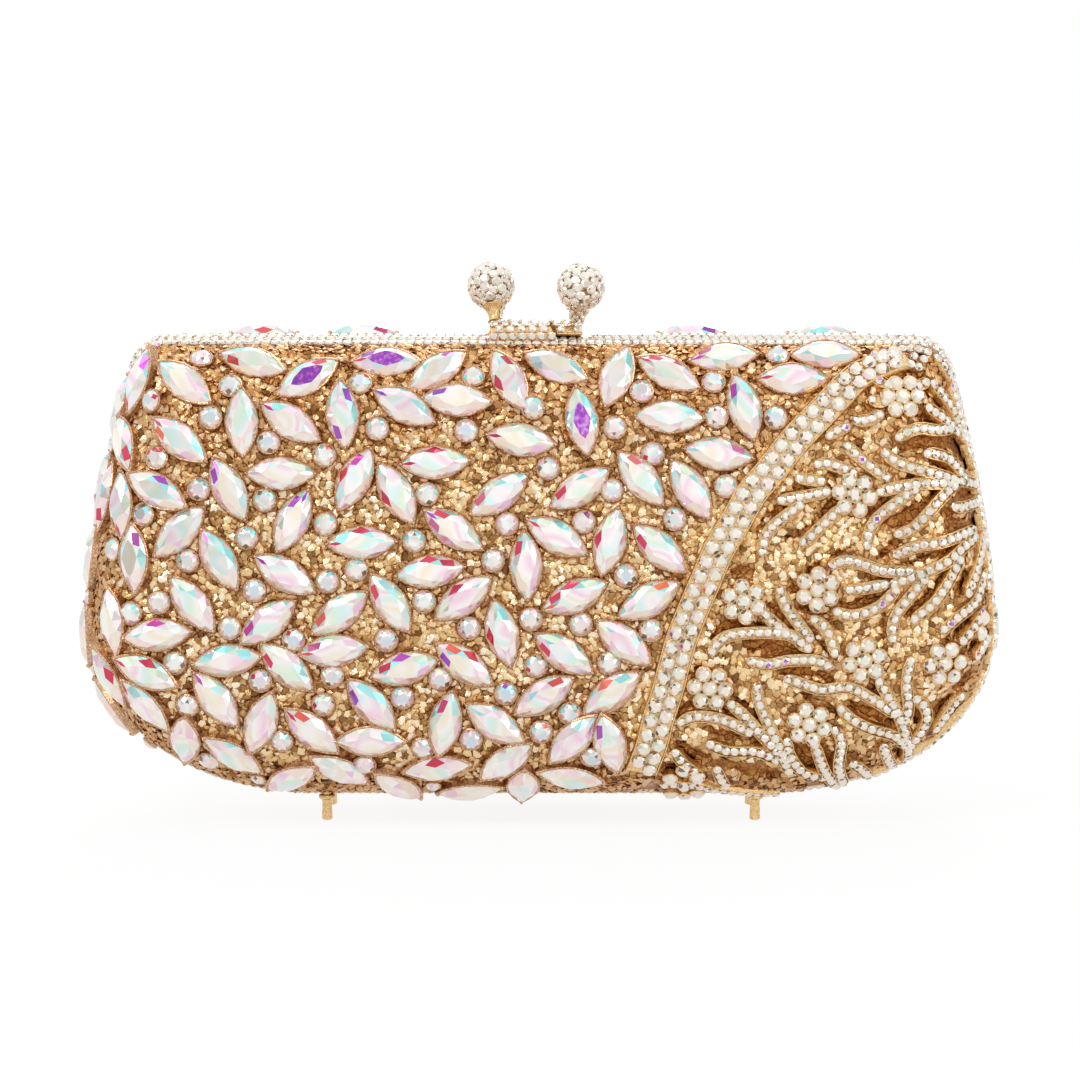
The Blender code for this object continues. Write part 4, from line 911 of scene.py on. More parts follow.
# The front half comes last, so that its seats are at hand for the casting's shading below
for half in ("back", "front"):
    crystal_seats = seat_crystals(half)
    claws = []
    for place, normal, along, size in crystal_seats:
        for end in (-1, 1):
            tip = place + along * (end * (size[0] / 2 - CLAW_INSET)) + normal * (size[2] * CLAW_LEVEL)
            claws.append((tip, normal, along, CLAW))
    mesh = set_stones(crystal_seats, pointed_stone, bright_crystal, 11)
    on_half(half, "pointed_crystals", mesh, "casting")
    for name, shape, is_level in (("pointed_cups", pointed_cup, False), ("tall_cups", tall_cup, True)):
        seats = [seat for seat in crystal_seats if (seat[1].z > LEVEL_RISE) == is_level]
        if seats:
            on_half(half, name, set_stones(seats, shape, cup_gold), "casting")
    mesh = set_stones(claws, claw, cup_gold)
    mesh.shade_smooth()
    on_half(half, "crystal_claws", mesh, "casting")


# Round crystals: cut stones of two sizes in plain cups, which fill the places between the
# pointed ones.
ROUND_DIAMETER = 0.0050
ROUND_HEIGHT = 0.0021
SMALL_ROUND_SHARE = 0.7
ROUND_PIXELS = (
    (473, 373), (642, 389), (714, 379), (778, 351), (466, 430), (377, 428), (615, 427), (717, 416),
    (776, 417), (548, 468), (533, 407), (653, 453), (726, 486), (675, 519), (198, 489), (140, 514),
    (264, 500), (108, 549), (246, 538), (187, 561), (325, 524), (254, 591), (327, 582), (356, 570),
    (158, 603), (128, 614), (229, 629), (293, 641), (386, 641), (174, 664), (260, 682), (332, 677),
    (186, 708), (323, 706), (402, 699), (281, 744), (207, 765), (364, 769), (427, 494), (507, 524),
    (584, 522), (612, 490), (414, 541), (493, 561), (626, 576), (424, 602), (469, 629), (531, 620),
    (581, 625), (651, 631), (536, 667), (609, 664), (440, 680), (506, 695), (570, 715), (541, 734),
    (471, 742), (423, 751), (592, 761), (201, 354), (230, 383), (210, 417), (268, 442), (324, 455),
    (360, 380), (154, 457), (147, 400),
)
SMALL_ROUND_PIXELS = ((257, 785), (433, 792))
SIDE_ROUNDS = ((0.0068, 0.0340), (0.0066, 0.0515), (0.0103, 0.0512), (0.0067, 0.0688), (0.0066, 0.0862),
               (0.0102, 0.0860), (0.0067, 0.0165))
round_stone = cut_stone("round_stone", round_outline(16), 0.10, 0.44, 0.78, 0.52, 0.80)
round_cup = cup("round_cup", round_outline(16), 0.54, 0.13, -0.18)
round_crystal = crystal_material("round_crystal", 0.06, dark_share=0.04, cool=0.4, violet_share=0.0)
round_skin = skin_tree(ROUND_HEIGHT)
round_seats = []
for share, pixels in ((1.0, ROUND_PIXELS), (SMALL_ROUND_SHARE, SMALL_ROUND_PIXELS)):
    size = [length * share for length in (ROUND_DIAMETER, ROUND_DIAMETER, ROUND_HEIGHT)]
    for across, down in pixels:
        place, normal = seat_under(round_skin, ROUND_HEIGHT, across, down)
        round_seats.append((place, normal, along_skin(normal, 17 * across), size))
for depth, level in SIDE_ROUNDS:
    place, normal = seat_beside(round_skin, ROUND_HEIGHT * SMALL_ROUND_SHARE, depth, level, -1)
    round_seats.append((place, normal, along_side(normal, 0.0), size))
on_both_halves("round_crystals", set_stones(round_seats, round_stone, round_crystal, 23))
on_both_halves("round_cups", set_stones(round_seats, round_cup, cup_gold))


# Small cut stones for the flowers, fronds, band, clasp and rims, in a cream glass with dark
# facets here and there
small_stone = cut_stone("small_stone", round_outline(8), 0.05, 0.45, 0.78, 0.55, 0.80)
middle_stone = cut_stone("middle_stone", round_outline(12), 0.05, 0.45, 0.78, 0.54, 0.80)
pave_crystal = crystal_material("pave_crystal", 0.02, dark_share=0.10, cream=0.62, violet_share=0.012)


def smooth_line(pixels, per_span=5):
    """A smooth line through given pixels, as many points."""
    nodes = np.array([pixels[0], *pixels, pixels[-1]], dtype=float)
    line = []
    for k in range(1, len(nodes) - 2):
        before, start, end, after = nodes[k - 1:k + 3]
        for share in np.arange(per_span) / per_span:
            line.append(0.5 * (2 * start + (end - before) * share
                               + (2 * before - 5 * start + 4 * end - after) * share ** 2
                               + (3 * start - before - 3 * end + after) * share ** 3))
    line.append(nodes[-1])
    return line


def path_on(seat, skin, height, line):
    """Places and normals on the casting, at the seats of a line's points."""
    seats = [seat(skin, height, *point) for point in line]
    return np.array([place for place, _ in seats]), np.array([normal for _, normal in seats])


def spaced(places, normals, pitch, inset=0.0):
    """Places, normals and headings at even steps near the pitch along a path."""
    run = np.concatenate([[0.0], np.cumsum(np.linalg.norm(np.diff(places, axis=0), axis=1))])
    length = run[-1] - 2 * inset
    marks = inset + np.linspace(0.0, length, max(int(round(length / pitch)), 1) + 1)
    even, facing = (np.stack([np.interp(marks, run, values[:, k]) for k in range(3)], 1)
                    for values in (places, normals))
    heading = np.gradient(even, axis=0)
    return even, unit_rows(facing), unit_rows(heading)


def unit_rows(rows):
    return rows / np.linalg.norm(rows, axis=1)[:, None]


def strip(section, places, normals, headings, wide, points, faces):
    """A closed strip of a section (sideways, upwards) along a path, added to points and faces."""
    faces += tube_faces(len(places), len(section), len(points), caps=True)
    for place, normal, beside, share in zip(places, normals, unit_rows(np.cross(normals, headings)), wide):
        points += [place + beside * (u * share) + normal * v for u, v in section]


def mesh_of(points, faces, sharp, material):
    """A painted mesh, smooth but for its edges sharper than an angle in degrees."""
    mesh = bpy.data.meshes.new("shape")
    mesh.from_pydata([tuple(map(float, point)) for point in points], [], faces)
    tidy_mesh(mesh)
    mesh.shade_smooth()
    mesh.set_sharp_from_angle(angle=math.radians(sharp))
    return painted_mesh(mesh, material)


def painted_mesh(mesh, material):
    mesh.materials.append(material)
    return mesh


# Fronds: thin stems and leaves of the foliage on the smooth side, each a row of small stones in
# a channel between two raised gold edges, cast with the ground.
FROND_PIXELS = (
    ((932, 380), (944, 395), (955, 411), (962, 432), (970, 444), (975, 456)),
    ((926, 405), (939, 414), (950, 422), (960, 434)),
    ((896, 440), (904, 434), (920, 428), (937, 430), (954, 428)),
    ((924, 455), (932, 453), (949, 458), (959, 468), (968, 481)),
    ((882, 450), (897, 462), (915, 468), (931, 472), (958, 480)),
    ((844, 443), (858, 456), (873, 468), (890, 480)),
    ((814, 466), (825, 463), (845, 469), (857, 475)), ((795, 478), (806, 479), (826, 482)),
    ((777, 501), (795, 498), (812, 495), (831, 491)),
    ((763, 557), (763, 547), (769, 531), (783, 518), (804, 503)),
    ((799, 543), (807, 540), (823, 525), (843, 506)),
    ((828, 568), (845, 561), (865, 565), (883, 571), (914, 572)),
    ((868, 550), (868, 537), (875, 521), (891, 507), (919, 487)),
    ((876, 493), (895, 488), (920, 484), (945, 483), (962, 481), (981, 485)),
    ((894, 535), (911, 530), (927, 515), (947, 493), (958, 484)),
    ((952, 506), (964, 507), (983, 500)), ((893, 556), (919, 546), (944, 542), (977, 529)),
    ((978, 536), (963, 549), (948, 562), (924, 573), (889, 586)),
    ((845, 590), (862, 589), (889, 584)), ((963, 556), (952, 578), (935, 603), (911, 622)),
    ((985, 530), (984, 545), (978, 572), (968, 597)), ((991, 550), (990, 570), (989, 590)),
    ((713, 656), (713, 649), (726, 637), (753, 633), (789, 635), (804, 646), (812, 651)),
    ((763, 612), (774, 623), (789, 635)), ((779, 586), (785, 604), (801, 627), (813, 642)),
    ((811, 617), (826, 629), (833, 645), (836, 658)),
    ((747, 660), (767, 665), (788, 661), (817, 661), (832, 669)),
    ((757, 683), (759, 702), (769, 725), (778, 745), (788, 765)),
    ((728, 702), (746, 718), (763, 737), (783, 760), (790, 775)),
    ((677, 725), (694, 717), (722, 720), (753, 735)),
    ((706, 743), (727, 752), (757, 753), (780, 763)),
    ((673, 750), (683, 764), (704, 779)), ((716, 767), (722, 782), (728, 788)),
    ((660, 786), (690, 786), (720, 792), (760, 795), (780, 795)),
    ((838, 706), (852, 720), (872, 730), (895, 737), (907, 748)),
    ((784, 678), (802, 684), (822, 690), (849, 688), (873, 700), (898, 717)),
    ((877, 678), (889, 698), (900, 718), (909, 750), (903, 773)),
    ((912, 657), (907, 683), (909, 709), (905, 725)),
    ((914, 697), (926, 709), (926, 726), (909, 750)),
    ((788, 738), (789, 754), (804, 774), (827, 779)),
    ((814, 742), (819, 757), (827, 776), (842, 793)),
    ((833, 728), (842, 741), (839, 768), (845, 788)), ((851, 763), (867, 775), (871, 789)),
    ((883, 745), (890, 763), (901, 777)), ((833, 610), (852, 616), (879, 607), (899, 587)),
    ((928, 577), (912, 595), (895, 618), (893, 644)),
    ((941, 633), (956, 620), (976, 603), (983, 585), (985, 572)),
    ((985, 610), (974, 630), (961, 644)), ((990, 636), (982, 651), (976, 659)),
    ((965, 694), (952, 709), (935, 733)), ((868, 372), (880, 380), (893, 386)),
    ((868, 398), (880, 402), (890, 399)), ((852, 420), (868, 420), (884, 412)),
    ((826, 438), (838, 430), (851, 426)), ((915, 387), (922, 384), (930, 380)),
    ((936, 354), (949, 372), (962, 398), (972, 424), (981, 452)),
    ((986, 492), (991, 515), (995, 541), (998, 570)), ((1003, 596), (1001, 620), (998, 646)),
    ((868, 790), (890, 784), (912, 774), (936, 757), (957, 733), (976, 703), (989, 672)),
)
# Fronds on the right side of the half: depths and heights along each
SIDE_FROND_PLACES = (
    ((0.0062, 0.0160), (0.0062, 0.0300), (0.0062, 0.0600), (0.0062, 0.0860), (0.0062, 0.1020)),
    ((0.0076, 0.0200), (0.0092, 0.0230), (0.0112, 0.0245)),
    ((0.0076, 0.0285), (0.0090, 0.0330), (0.0112, 0.0355)),
    ((0.0076, 0.0400), (0.0094, 0.0450), (0.0110, 0.0520)),
    ((0.0076, 0.0530), (0.0088, 0.0590), (0.0108, 0.0640)),
    ((0.0076, 0.0670), (0.0092, 0.0710), (0.0106, 0.0770)),
    ((0.0076, 0.0800), (0.0092, 0.0850), (0.0112, 0.0880)), ((0.0076, 0.0920), (0.0094, 0.0960)),
)
FROND_SECTION = ((-0.00150, -0.0005), (-0.00147, 0.0009), (-0.00136, 0.00112), (-0.00122, 0.00112),
                 (-0.00110, 0.0006), (0.00110, 0.0006), (0.00122, 0.00112), (0.00136, 0.00112),
                 (0.00147, 0.0009), (0.00150, -0.0005))
FROND_PITCH = 0.0011
FROND_HEIGHT = 0.0012
SMALL_STONE = (0.00222, 0.00222, 0.00105)
SMALL_STONE_PITCH = 0.00206
STONE_FLOOR = 0.00058
frond_skin = skin_tree(FROND_HEIGHT)
points, faces, frond_seats, frond_spine = [], [], [], []
paths = [path_on(seat_under, frond_skin, FROND_HEIGHT, smooth_line(pixels)) for pixels in FROND_PIXELS]
paths += [path_on(seat_beside, frond_skin, FROND_HEIGHT, smooth_line(line)) for line in SIDE_FROND_PLACES]
for places, normals in paths:
    even, facing, heading = spaced(places, normals, FROND_PITCH)
    spread = np.linspace(-1.0, 1.0, len(even))
    wide = 0.35 + 0.65 * np.minimum((1 - np.abs(spread)) * len(even) / 3, 1.0)
    strip(FROND_SECTION, even, facing, heading, wide, points, faces)
    frond_spine += list(even)
    even, facing, heading = spaced(places, normals, SMALL_STONE_PITCH, SMALL_STONE_PITCH / 2)
    for place, normal, along in zip(even, facing, heading):
        frond_seats.append((place + normal * STONE_FLOOR, normal, along, SMALL_STONE))
on_both_halves("frond_edges", mesh_of(points, faces, 40, polished_gold), "casting")
on_both_halves("frond_stones", set_stones(frond_seats, small_stone, pave_crystal, 31))


# Flowers: seven stones each, one in the middle and six round it, in gold cups among the fronds.
FLOWER_PIXELS = ((904, 395), (855, 495), (744, 602), (818, 590), (865, 661), (947, 665), (710, 689),
                 (810, 726), (684, 789), (999, 628))
PETAL_SPREAD_PIXELS = 15.5
PETALS = 6
PETAL = (0.00345, 0.00345, 0.0019)
PETAL_RISE = 0.0003
petal_cup = cup("petal_cup", round_outline(12), 0.52, 0.10, -0.35)
flower_skin = skin_tree(PETAL[2])
flower_seats = []
for number, (across, down) in enumerate(FLOWER_PIXELS):
    turns = [math.radians(11 * number) + 2 * math.pi * k / PETALS for k in range(PETALS)]
    spots = [(across, down)] + [(across + PETAL_SPREAD_PIXELS * math.cos(turn),
                                 down + PETAL_SPREAD_PIXELS * math.sin(turn)) for turn in turns]
    for spot in spots:
        place, normal = seat_under(flower_skin, PETAL[2], *spot)
        flower_seats.append((place + normal * PETAL_RISE, normal, along_skin(normal, 30 * number), PETAL))
on_both_halves("flower_stones", set_stones(flower_seats, middle_stone, pave_crystal, 41))
on_both_halves("flower_cups", set_stones(flower_seats, petal_cup, polished_gold))


# Pave band: two staggered rows of cream stones between gold edges, on a raised strip that
# divides the two sides of the case.
BAND_PIXELS = ((905, 354), (888, 361), (860, 373), (840, 393), (817, 417), (793, 442), (773, 468),
               (752, 493), (736, 521), (719, 550), (706, 580), (694, 608), (682, 638), (674, 666),
               (667, 693), (658, 720), (652, 745), (641, 774))
BAND_WIDTH = 0.0072
BAND_TOP_WIDTH = 0.0070
BAND_FOOT_WIDTH = 0.0076
BAND_PITCH = 0.0016
BAND_SECTION = ((-0.00360, -0.0004), (-0.00355, 0.00115), (-0.00335, 0.0014), (-0.00312, 0.0014),
                (-0.00300, 0.0010), (0.00300, 0.0010), (0.00312, 0.0014), (0.00335, 0.0014),
                (0.00355, 0.00115), (0.00360, -0.0004))
BAND_STONE = (0.00335, 0.00335, 0.0015)
BAND_STONE_PITCH = 0.0034
BAND_ROW = 0.00150
BAND_FLOOR = 0.00085
BAND_HEIGHT = 0.0014
band_skin = skin_tree(BAND_HEIGHT)
places, normals = path_on(seat_under, band_skin, BAND_HEIGHT, smooth_line(BAND_PIXELS))
band_spine, facing, heading = spaced(places, normals, BAND_PITCH)
points, faces = [], []
wide = np.linspace(BAND_TOP_WIDTH, BAND_FOOT_WIDTH, len(band_spine)) / BAND_WIDTH
strip(BAND_SECTION, band_spine, facing, heading, wide, points, faces)
on_both_halves("band_strip", mesh_of(points, faces, 40, polished_gold), "pave_band")
seats = []
even, facing, heading = spaced(places, normals, BAND_STONE_PITCH / 2, BAND_STONE_PITCH / 2)
for k, (place, normal, along) in enumerate(zip(even, facing, heading)):
    beside = np.cross(normal, along) * BAND_ROW * (1 if k % 2 else -1)
    seats.append((place + beside + normal * BAND_FLOOR, normal, along, BAND_STONE))
on_both_halves("band_stones", set_stones(seats, middle_stone, pave_crystal, 53), "pave_band")


# Corner patch: stones that fill the corner between the band's upper end and the rim.
PATCH_PIXELS = ((884, 350), (893, 347), (902, 346), (911, 346), (920, 347), (929, 350), (898, 355),
                (915, 354), (925, 357), (920, 365), (912, 362), (875, 352))
PATCH_STONE = (0.0021, 0.0021, 0.0012)
PATCH_RISE = 0.0009
patch_skin = skin_tree(PATCH_STONE[2] + PATCH_RISE)
seats = []
for across, down in PATCH_PIXELS:
    place, normal = seat_under(patch_skin, PATCH_STONE[2], across, down)
    seats.append((place, normal, along_skin(normal, 13 * across), PATCH_STONE))
on_both_halves("corner_stones", set_stones(seats, middle_stone, pave_crystal, 59))


# Frames: the rim of each half carries rows of small stones all round, left out under the clasp
# and over the hinge, and the casting's top edge two more. The frame itself is the gold one of the
# CAD model.
FRAME_ROWS = ((-0.0014, 0.0002, 12.0, 0.0), (-0.0032, 0.00085, 38.0, 0.5))
EDGE_ROWS = (0.0059, 0.0079)
EDGE_ROW_HALF = 0.0865
FRAME_STONE = (0.0021, 0.0021, 0.0009)
FRAME_STONE_PITCH = 0.0021
FRAME_RUN = 0.575
EDGE_RUN = 0.570
CLASP_CLEAR = (-0.0128, 0.0105)
SKIRT_CLEAR = (-0.0126, 0.0052)
TOP_BAND = 0.0030
INNER_ROW_DEPTH = 0.0020
EDGE_BAND = 0.0050
STONE_SINK = 0.0002
pin_low, pin_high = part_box("hinge_pin")
GROOVE_TOP = (pin_low[2] + pin_high[2]) / 2 + 0.0008
frame_stone = cut_stone("frame_stone", round_outline(10), 0.05, 0.48, 0.78, 0.62, 0.84)
rim_crystal = crystal_material("rim_crystal", 0.02, dark_share=0.08, cream=0.58, violet_share=0.01)


def headings_round(loop):
    return unit_rows(np.roll(loop, -1, axis=0) - np.roll(loop, 1, axis=0))


seats = []
for depth, drop, tilt, shift in FRAME_ROWS:
    loop = case_outline(drop, int(round(FRAME_RUN / FRAME_STONE_PITCH)))
    loop = loop * (1 - shift) + np.roll(loop, -1, axis=0) * shift
    lean = math.radians(tilt)
    for (x, z), (dx, dz) in zip(loop, headings_round(loop)):
        under_clasp = z > TOP_HEIGHT - TOP_BAND and CLASP_CLEAR[0] < x < CLASP_CLEAR[1]
        if depth > -INNER_ROW_DEPTH and (under_clasp or z < GROOVE_TOP):
            continue
        normal = Vector((dz * math.cos(lean), -math.sin(lean), -dx * math.cos(lean)))
        seats.append((Vector((x, depth, z)) - normal * STONE_SINK, normal, Vector((dx, 0.0, dz)),
                      FRAME_STONE))
edge_skin = skin_tree(0.0)
for depth in EDGE_ROWS:
    turn = math.asin((depth - RIM_DEPTH) / (face_depth(TOP_HEIGHT) - CASTING_STEP - RIM_DEPTH))
    edge = case_outline(CASTING_STEP, int(round(EDGE_RUN / FRAME_STONE_PITCH)))
    ring = skin_ring(edge, turn, CASTING_STEP)
    for point in ring[(ring[:, 2] > TOP_HEIGHT - EDGE_BAND) & (np.abs(ring[:, 0]) < EDGE_ROW_HALF)]:
        if depth == EDGE_ROWS[0] and SKIRT_CLEAR[0] < point[0] < SKIRT_CLEAR[1]:
            continue
        place, normal, _, _ = edge_skin.find_nearest(Vector(point))
        if normal.z < 0:
            normal = -normal
        seats.append((place - normal * STONE_SINK, normal, Vector((1.0, 0.0, 0.0)), FRAME_STONE))
on_both_halves("frame_stones", set_stones(seats, frame_stone, rim_crystal, 61))
for half in ("front", "back"):
    for node in ("_frame", "_hinge_leaf"):
        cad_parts[half + node].material_slots[0].material = polished_gold


# Clasp: a kiss lock. Each half has a bar over both frames, which reaches down over its own frame's
# outer face, a neck and a ball; bars and balls are set all over with small stones on gold.
CLASP_OFFSET = -0.0012
CLASP_HALF_LENGTH = 0.0106
SLIT_OFFSET = 0.0024
SLIT_SLANT_SHARE = 0.55
BAR_BOTTOM = TOP_HEIGHT + 0.0003
BAR_HEIGHT = 0.0032
BAR_REACH = 0.00435
BAR_ROW_SHARES = (0.145, 0.32, 0.50, 0.68, 0.86)
BAR_STONE = (0.0021, 0.0021, 0.00085)
BAR_SINK = 0.0006
BALL_RADIUS = 0.0054
BALL_STONES = 74
BALL_STONE = (0.00244, 0.00244, 0.0009)
BALL_CORE = 0.00475
SKIRT_DEPTH = 0.0044
SKIRT_WALL = 0.0007
SKIRT_DROP = 0.00115
GOLDEN_TURN = math.pi * (3 - math.sqrt(5))
clasp_crystal = crystal_material("clasp_crystal", 0.02, dark_share=0.05, cream=0.62, violet_share=0.0,
                                 roughness=0.12)
# Painted shade: the gold of the balls' cores between the stones is painted a dark grey-brown
ball_gold_in_painted_shade = gold_material("ball_gold_in_painted_shade", 1800.0, 0.10, 0.15, (0.40, 0.26, 0.15, 1.0),
                            (0.15, 0.09, 0.05, 1.0), 0.34, 0.00005, pale=(0.50, 0.36, 0.22, 1.0))
BAR_GAP = 0.0003
BAR_END_INSET = 0.0002
LIP_RADIUS = 0.00035
BAR_ROUNDS = 17
BAR_LENGTHS = 8
STONE_ROOM = BAR_STONE[0] * 1.02
LEVEL_WAY = Vector((1.0, 0.0, 0.0))
SKIRT_FACING = Vector((0.0, -0.98, 0.2)).normalized()


def bar_place(turn, sink=0.0):
    """Depth and height on a bar's arched surface, or under it."""
    return (-(BAR_REACH - sink) * math.cos(turn),
            BAR_BOTTOM + (BAR_HEIGHT - sink) * math.sin(turn))


def box_middle(half, node):
    """Middle of the box of a half's CAD node, turned into the front half's place."""
    x, y, z = [(low + high) / 2 for low, high in zip(*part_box(half + "_" + node))]
    return (x, y, z) if half == "front" else (-x, -y, z)


for half, across in (("front", 1), ("back", -1)):
    middle = CLASP_OFFSET * across
    slit = middle + SLIT_OFFSET * across
    outer = middle - CLASP_HALF_LENGTH
    core_points = []
    for share in np.linspace(0.0, 1.0, BAR_LENGTHS):
        for turn in np.linspace(0.0, math.pi, BAR_ROUNDS):
            y, z = bar_place(turn, BAR_SINK)
            end = slit - y * SLIT_SLANT_SHARE - BAR_GAP
            core_points.append((outer + BAR_END_INSET + (end - outer - 2 * BAR_END_INSET) * share, y, z))
    core_faces = tube_faces(BAR_LENGTHS, BAR_ROUNDS, caps=True)
    up, way = (np.array([direction] * 2) for direction in ((0.0, 0.0, 1.0), (1.0, 0.0, 0.0)))
    for edge in (-1, 1):
        y = edge * (BAR_REACH - BAR_GAP)
        end = slit - y * SLIT_SLANT_SHARE - BAR_GAP
        lip = np.array([(outer, y, BAR_BOTTOM + LIP_RADIUS), (end, y, BAR_BOTTOM + LIP_RADIUS)])
        ring = [(LIP_RADIUS * math.cos(math.pi * k / 4), LIP_RADIUS * math.sin(math.pi * k / 4))
                for k in range(8)]
        strip(ring, lip, up, way, (1.0, 1.0), core_points, core_faces)
    skirt_end = slit + SKIRT_DEPTH * SLIT_SLANT_SHARE - BAR_GAP
    skirt_top = BAR_BOTTOM - TOP_HEIGHT + SKIRT_DROP + BAR_GAP
    plate = [(-SKIRT_WALL / 2, 0.0), (SKIRT_WALL / 2, 0.0), (SKIRT_WALL / 2, skirt_top + BAR_GAP),
             (-SKIRT_WALL / 2, skirt_top)]
    line = np.array([(x, -SKIRT_DEPTH - SKIRT_WALL / 2, TOP_HEIGHT - SKIRT_DROP)
                     for x in (outer, skirt_end)])
    strip(plate, line, up, way, (1.0, 1.0), core_points, core_faces)
    on_half(half, "clasp_core", mesh_of(core_points, core_faces, 40, polished_gold), "clasp_bar")
    seats = []
    arc = np.linspace(0.0, math.pi, 200)
    path = np.array([bar_place(turn) for turn in arc])
    run = np.concatenate([[0.0], np.cumsum(np.linalg.norm(np.diff(path, axis=0), axis=1))])
    for row, share in enumerate(BAR_ROW_SHARES):
        turn = float(np.interp(share * run[-1], run, arc))
        y, z = bar_place(turn)
        normal = Vector((0.0, -math.cos(turn) / BAR_REACH, math.sin(turn) / BAR_HEIGHT)).normalized()
        room = slit - y * SLIT_SLANT_SHARE - BAR_GAP - outer - BAR_STONE[0]
        count = int(room / STONE_ROOM)
        shift = 0.5 if row % 2 == 0 and count > 3 else 0.0
        for k in range(count + (shift == 0.0)):
            x = outer + BAR_STONE[0] / 2 + room * (k + shift) / max(count, 1)
            seats.append((Vector((x, y, z)) - normal * BAR_SINK, normal, LEVEL_WAY, BAR_STONE))
    room = skirt_end - outer - BAR_STONE[0]
    count = int(room / STONE_ROOM)
    for k in range(count + 1):
        spot = Vector((outer + BAR_STONE[0] / 2 + room * k / count, -SKIRT_DEPTH - SKIRT_WALL + STONE_SINK,
                       TOP_HEIGHT - SKIRT_DROP + BAR_STONE[0] / 2))
        seats.append((spot, SKIRT_FACING, LEVEL_WAY, BAR_STONE))
    on_half(half, "bar_stones", set_stones(seats, frame_stone, clasp_crystal, 71),
            "clasp_bar")
    centre = Vector(box_middle(half, "clasp_ball"))
    seats = []
    for k in range(BALL_STONES):
        level = 1 - 2 * (k + 0.5) / BALL_STONES
        reach = math.sqrt(1 - level * level)
        outward = Vector((reach * math.cos(GOLDEN_TURN * k), level, reach * math.sin(GOLDEN_TURN * k)))
        along = outward.cross(Vector((0.3, 0.2, 1.0))).normalized()
        seats.append((centre + outward * (BALL_CORE - STONE_SINK), outward, along, BALL_STONE))
    on_half(half, "ball_stones", set_stones(seats, frame_stone, clasp_crystal, 83),
            "clasp_ball")
    core = ball(4, BALL_CORE)
    core.transform(Matrix.Translation(centre))
    core.shade_smooth()
    on_half(half, "ball_core", painted_mesh(core, ball_gold_in_painted_shade), "clasp_ball")


def turned(profile, sides, place, material):
    """A solid turned about an upright axis from a profile of radius and height, top to bottom."""
    turns = [2 * math.pi * k / sides for k in range(sides)]
    points = [(place[0] + radius * math.cos(turn), place[1] + radius * math.sin(turn), height)
              for radius, height in profile for turn in turns]
    return mesh_of(points, tube_faces(len(profile), sides, caps=True), 35, material)


# Clasp necks: turned gold cones that join each ball to its bar. The back one is set with stones
# all round, the front one with a single row down the side that faces the other.
NECK_FOOT = (-0.0093, 0.0008)
NECK_REACH = 0.0009
NECK_SINK = 0.00015
NECK_ROWS = ((0.25, 0.00135), (0.52, 0.0016), (0.80, 0.0022))
for half, across, count, size in (("front", 1, 1, 0.0017), ("back", -1, 7, 0.0013)):
    foot = Vector((CLASP_OFFSET * across + NECK_FOOT[0], NECK_FOOT[1], BAR_BOTTOM + BAR_HEIGHT - BAR_GAP))
    run = Vector(box_middle(half, "clasp_ball")) - foot
    length = run.length - BALL_RADIUS + NECK_REACH
    profile = [(0.0024, length), (0.0026, length - 0.0003), (0.0024, length - 0.0007),
               (0.0019, length - 0.0011), (0.0015, length * 0.5), (0.00125, length * 0.25),
               (0.0013, 0.0004), (0.0016, 0.0)]
    mesh = turned(profile, 28, (0.0, 0.0), polished_gold)
    mesh.transform(run.to_track_quat("Z", "Y").to_matrix().to_4x4())
    mesh.transform(Matrix.Translation(foot))
    on_half(half, "neck_cone", mesh, "clasp_neck")
    way = run.normalized()
    side = way.cross(Vector((0.0, 1.0, 0.0))).normalized()
    seats = []
    for row, (share, radius) in enumerate(NECK_ROWS):
        for k in range(count):
            turn = 2 * math.pi * (k + (0.5 * (row % 2) if count > 1 else 0.0)) / count
            outward = -side * math.cos(turn) + way.cross(side) * math.sin(turn)
            spot = foot + way * (length * share) + outward * (radius - NECK_SINK)
            seats.append((spot, outward, way, (size, size, 0.0007)))
    on_half(half, "neck_stones", set_stones(seats, small_stone, clasp_crystal, 97),
            "clasp_neck")


# Casting, finished: the cast ground has painted shade close to the cups that stand on it, and holds no
# nuggets under stones, fronds and band or beside the rim.
SHADOW_REACH = 0.0016
FOOTPRINT_HEIGHT = 0.0030
FROND_COVER = 0.0015
BAND_COVER = 0.0034
RIM_COVER = 0.0060
EDGE_ROW_COVER = 0.0012


def ground_distances(points):
    """How far each point of the casting is from the nearest of some points."""
    tree = KDTree(len(points))
    for k, point in enumerate(points):
        tree.insert(point, k)
    tree.balance()
    return np.array([tree.find(point)[2] for point in casting_points])


edge_points = []
covered = np.zeros(len(casting_points))
for pointed, seats in ((True, crystal_seats), (False, round_seats), (False, flower_seats)):
    for place, normal, along, size in seats:
        beside = normal.cross(along)
        outline = pointed_outline(24) if pointed else round_outline(12)
        edge_points += [place + along * (x * size[0]) + beside * (y * size[1]) for x, y in outline]
        away = casting_points - np.array(place)
        u = away @ np.array(along) / size[0] * 2
        v = away @ np.array(beside) / size[1] * 2
        level = np.abs(away @ np.array(normal)) < FOOTPRINT_HEIGHT
        inside = np.abs(v) < 1 - u * u if pointed else np.hypot(u, v) < 1
        covered[level & inside] = 1.0
covered[ground_distances(frond_spine) < FROND_COVER] = 1.0
covered[ground_distances(band_spine) < BAND_COVER] = 1.0
covered[(casting_points[:, 2] > TOP_HEIGHT - RIM_COVER)
        & (casting_points[:, 1] > -EDGE_ROWS[-1] - EDGE_ROW_COVER)] = 1.0
store(casting, "covered", covered)
# Painted shade: the ground is darker within a short reach of the edges of the cups
store(casting, "shadow", 1 - np.minimum(ground_distances(edge_points) / SHADOW_REACH, 1.0))
mesh = grown(new_object("casting", casting), ground_tree, {"Material": ground_gold})
on_both_halves("casting_shell", mesh, "casting")


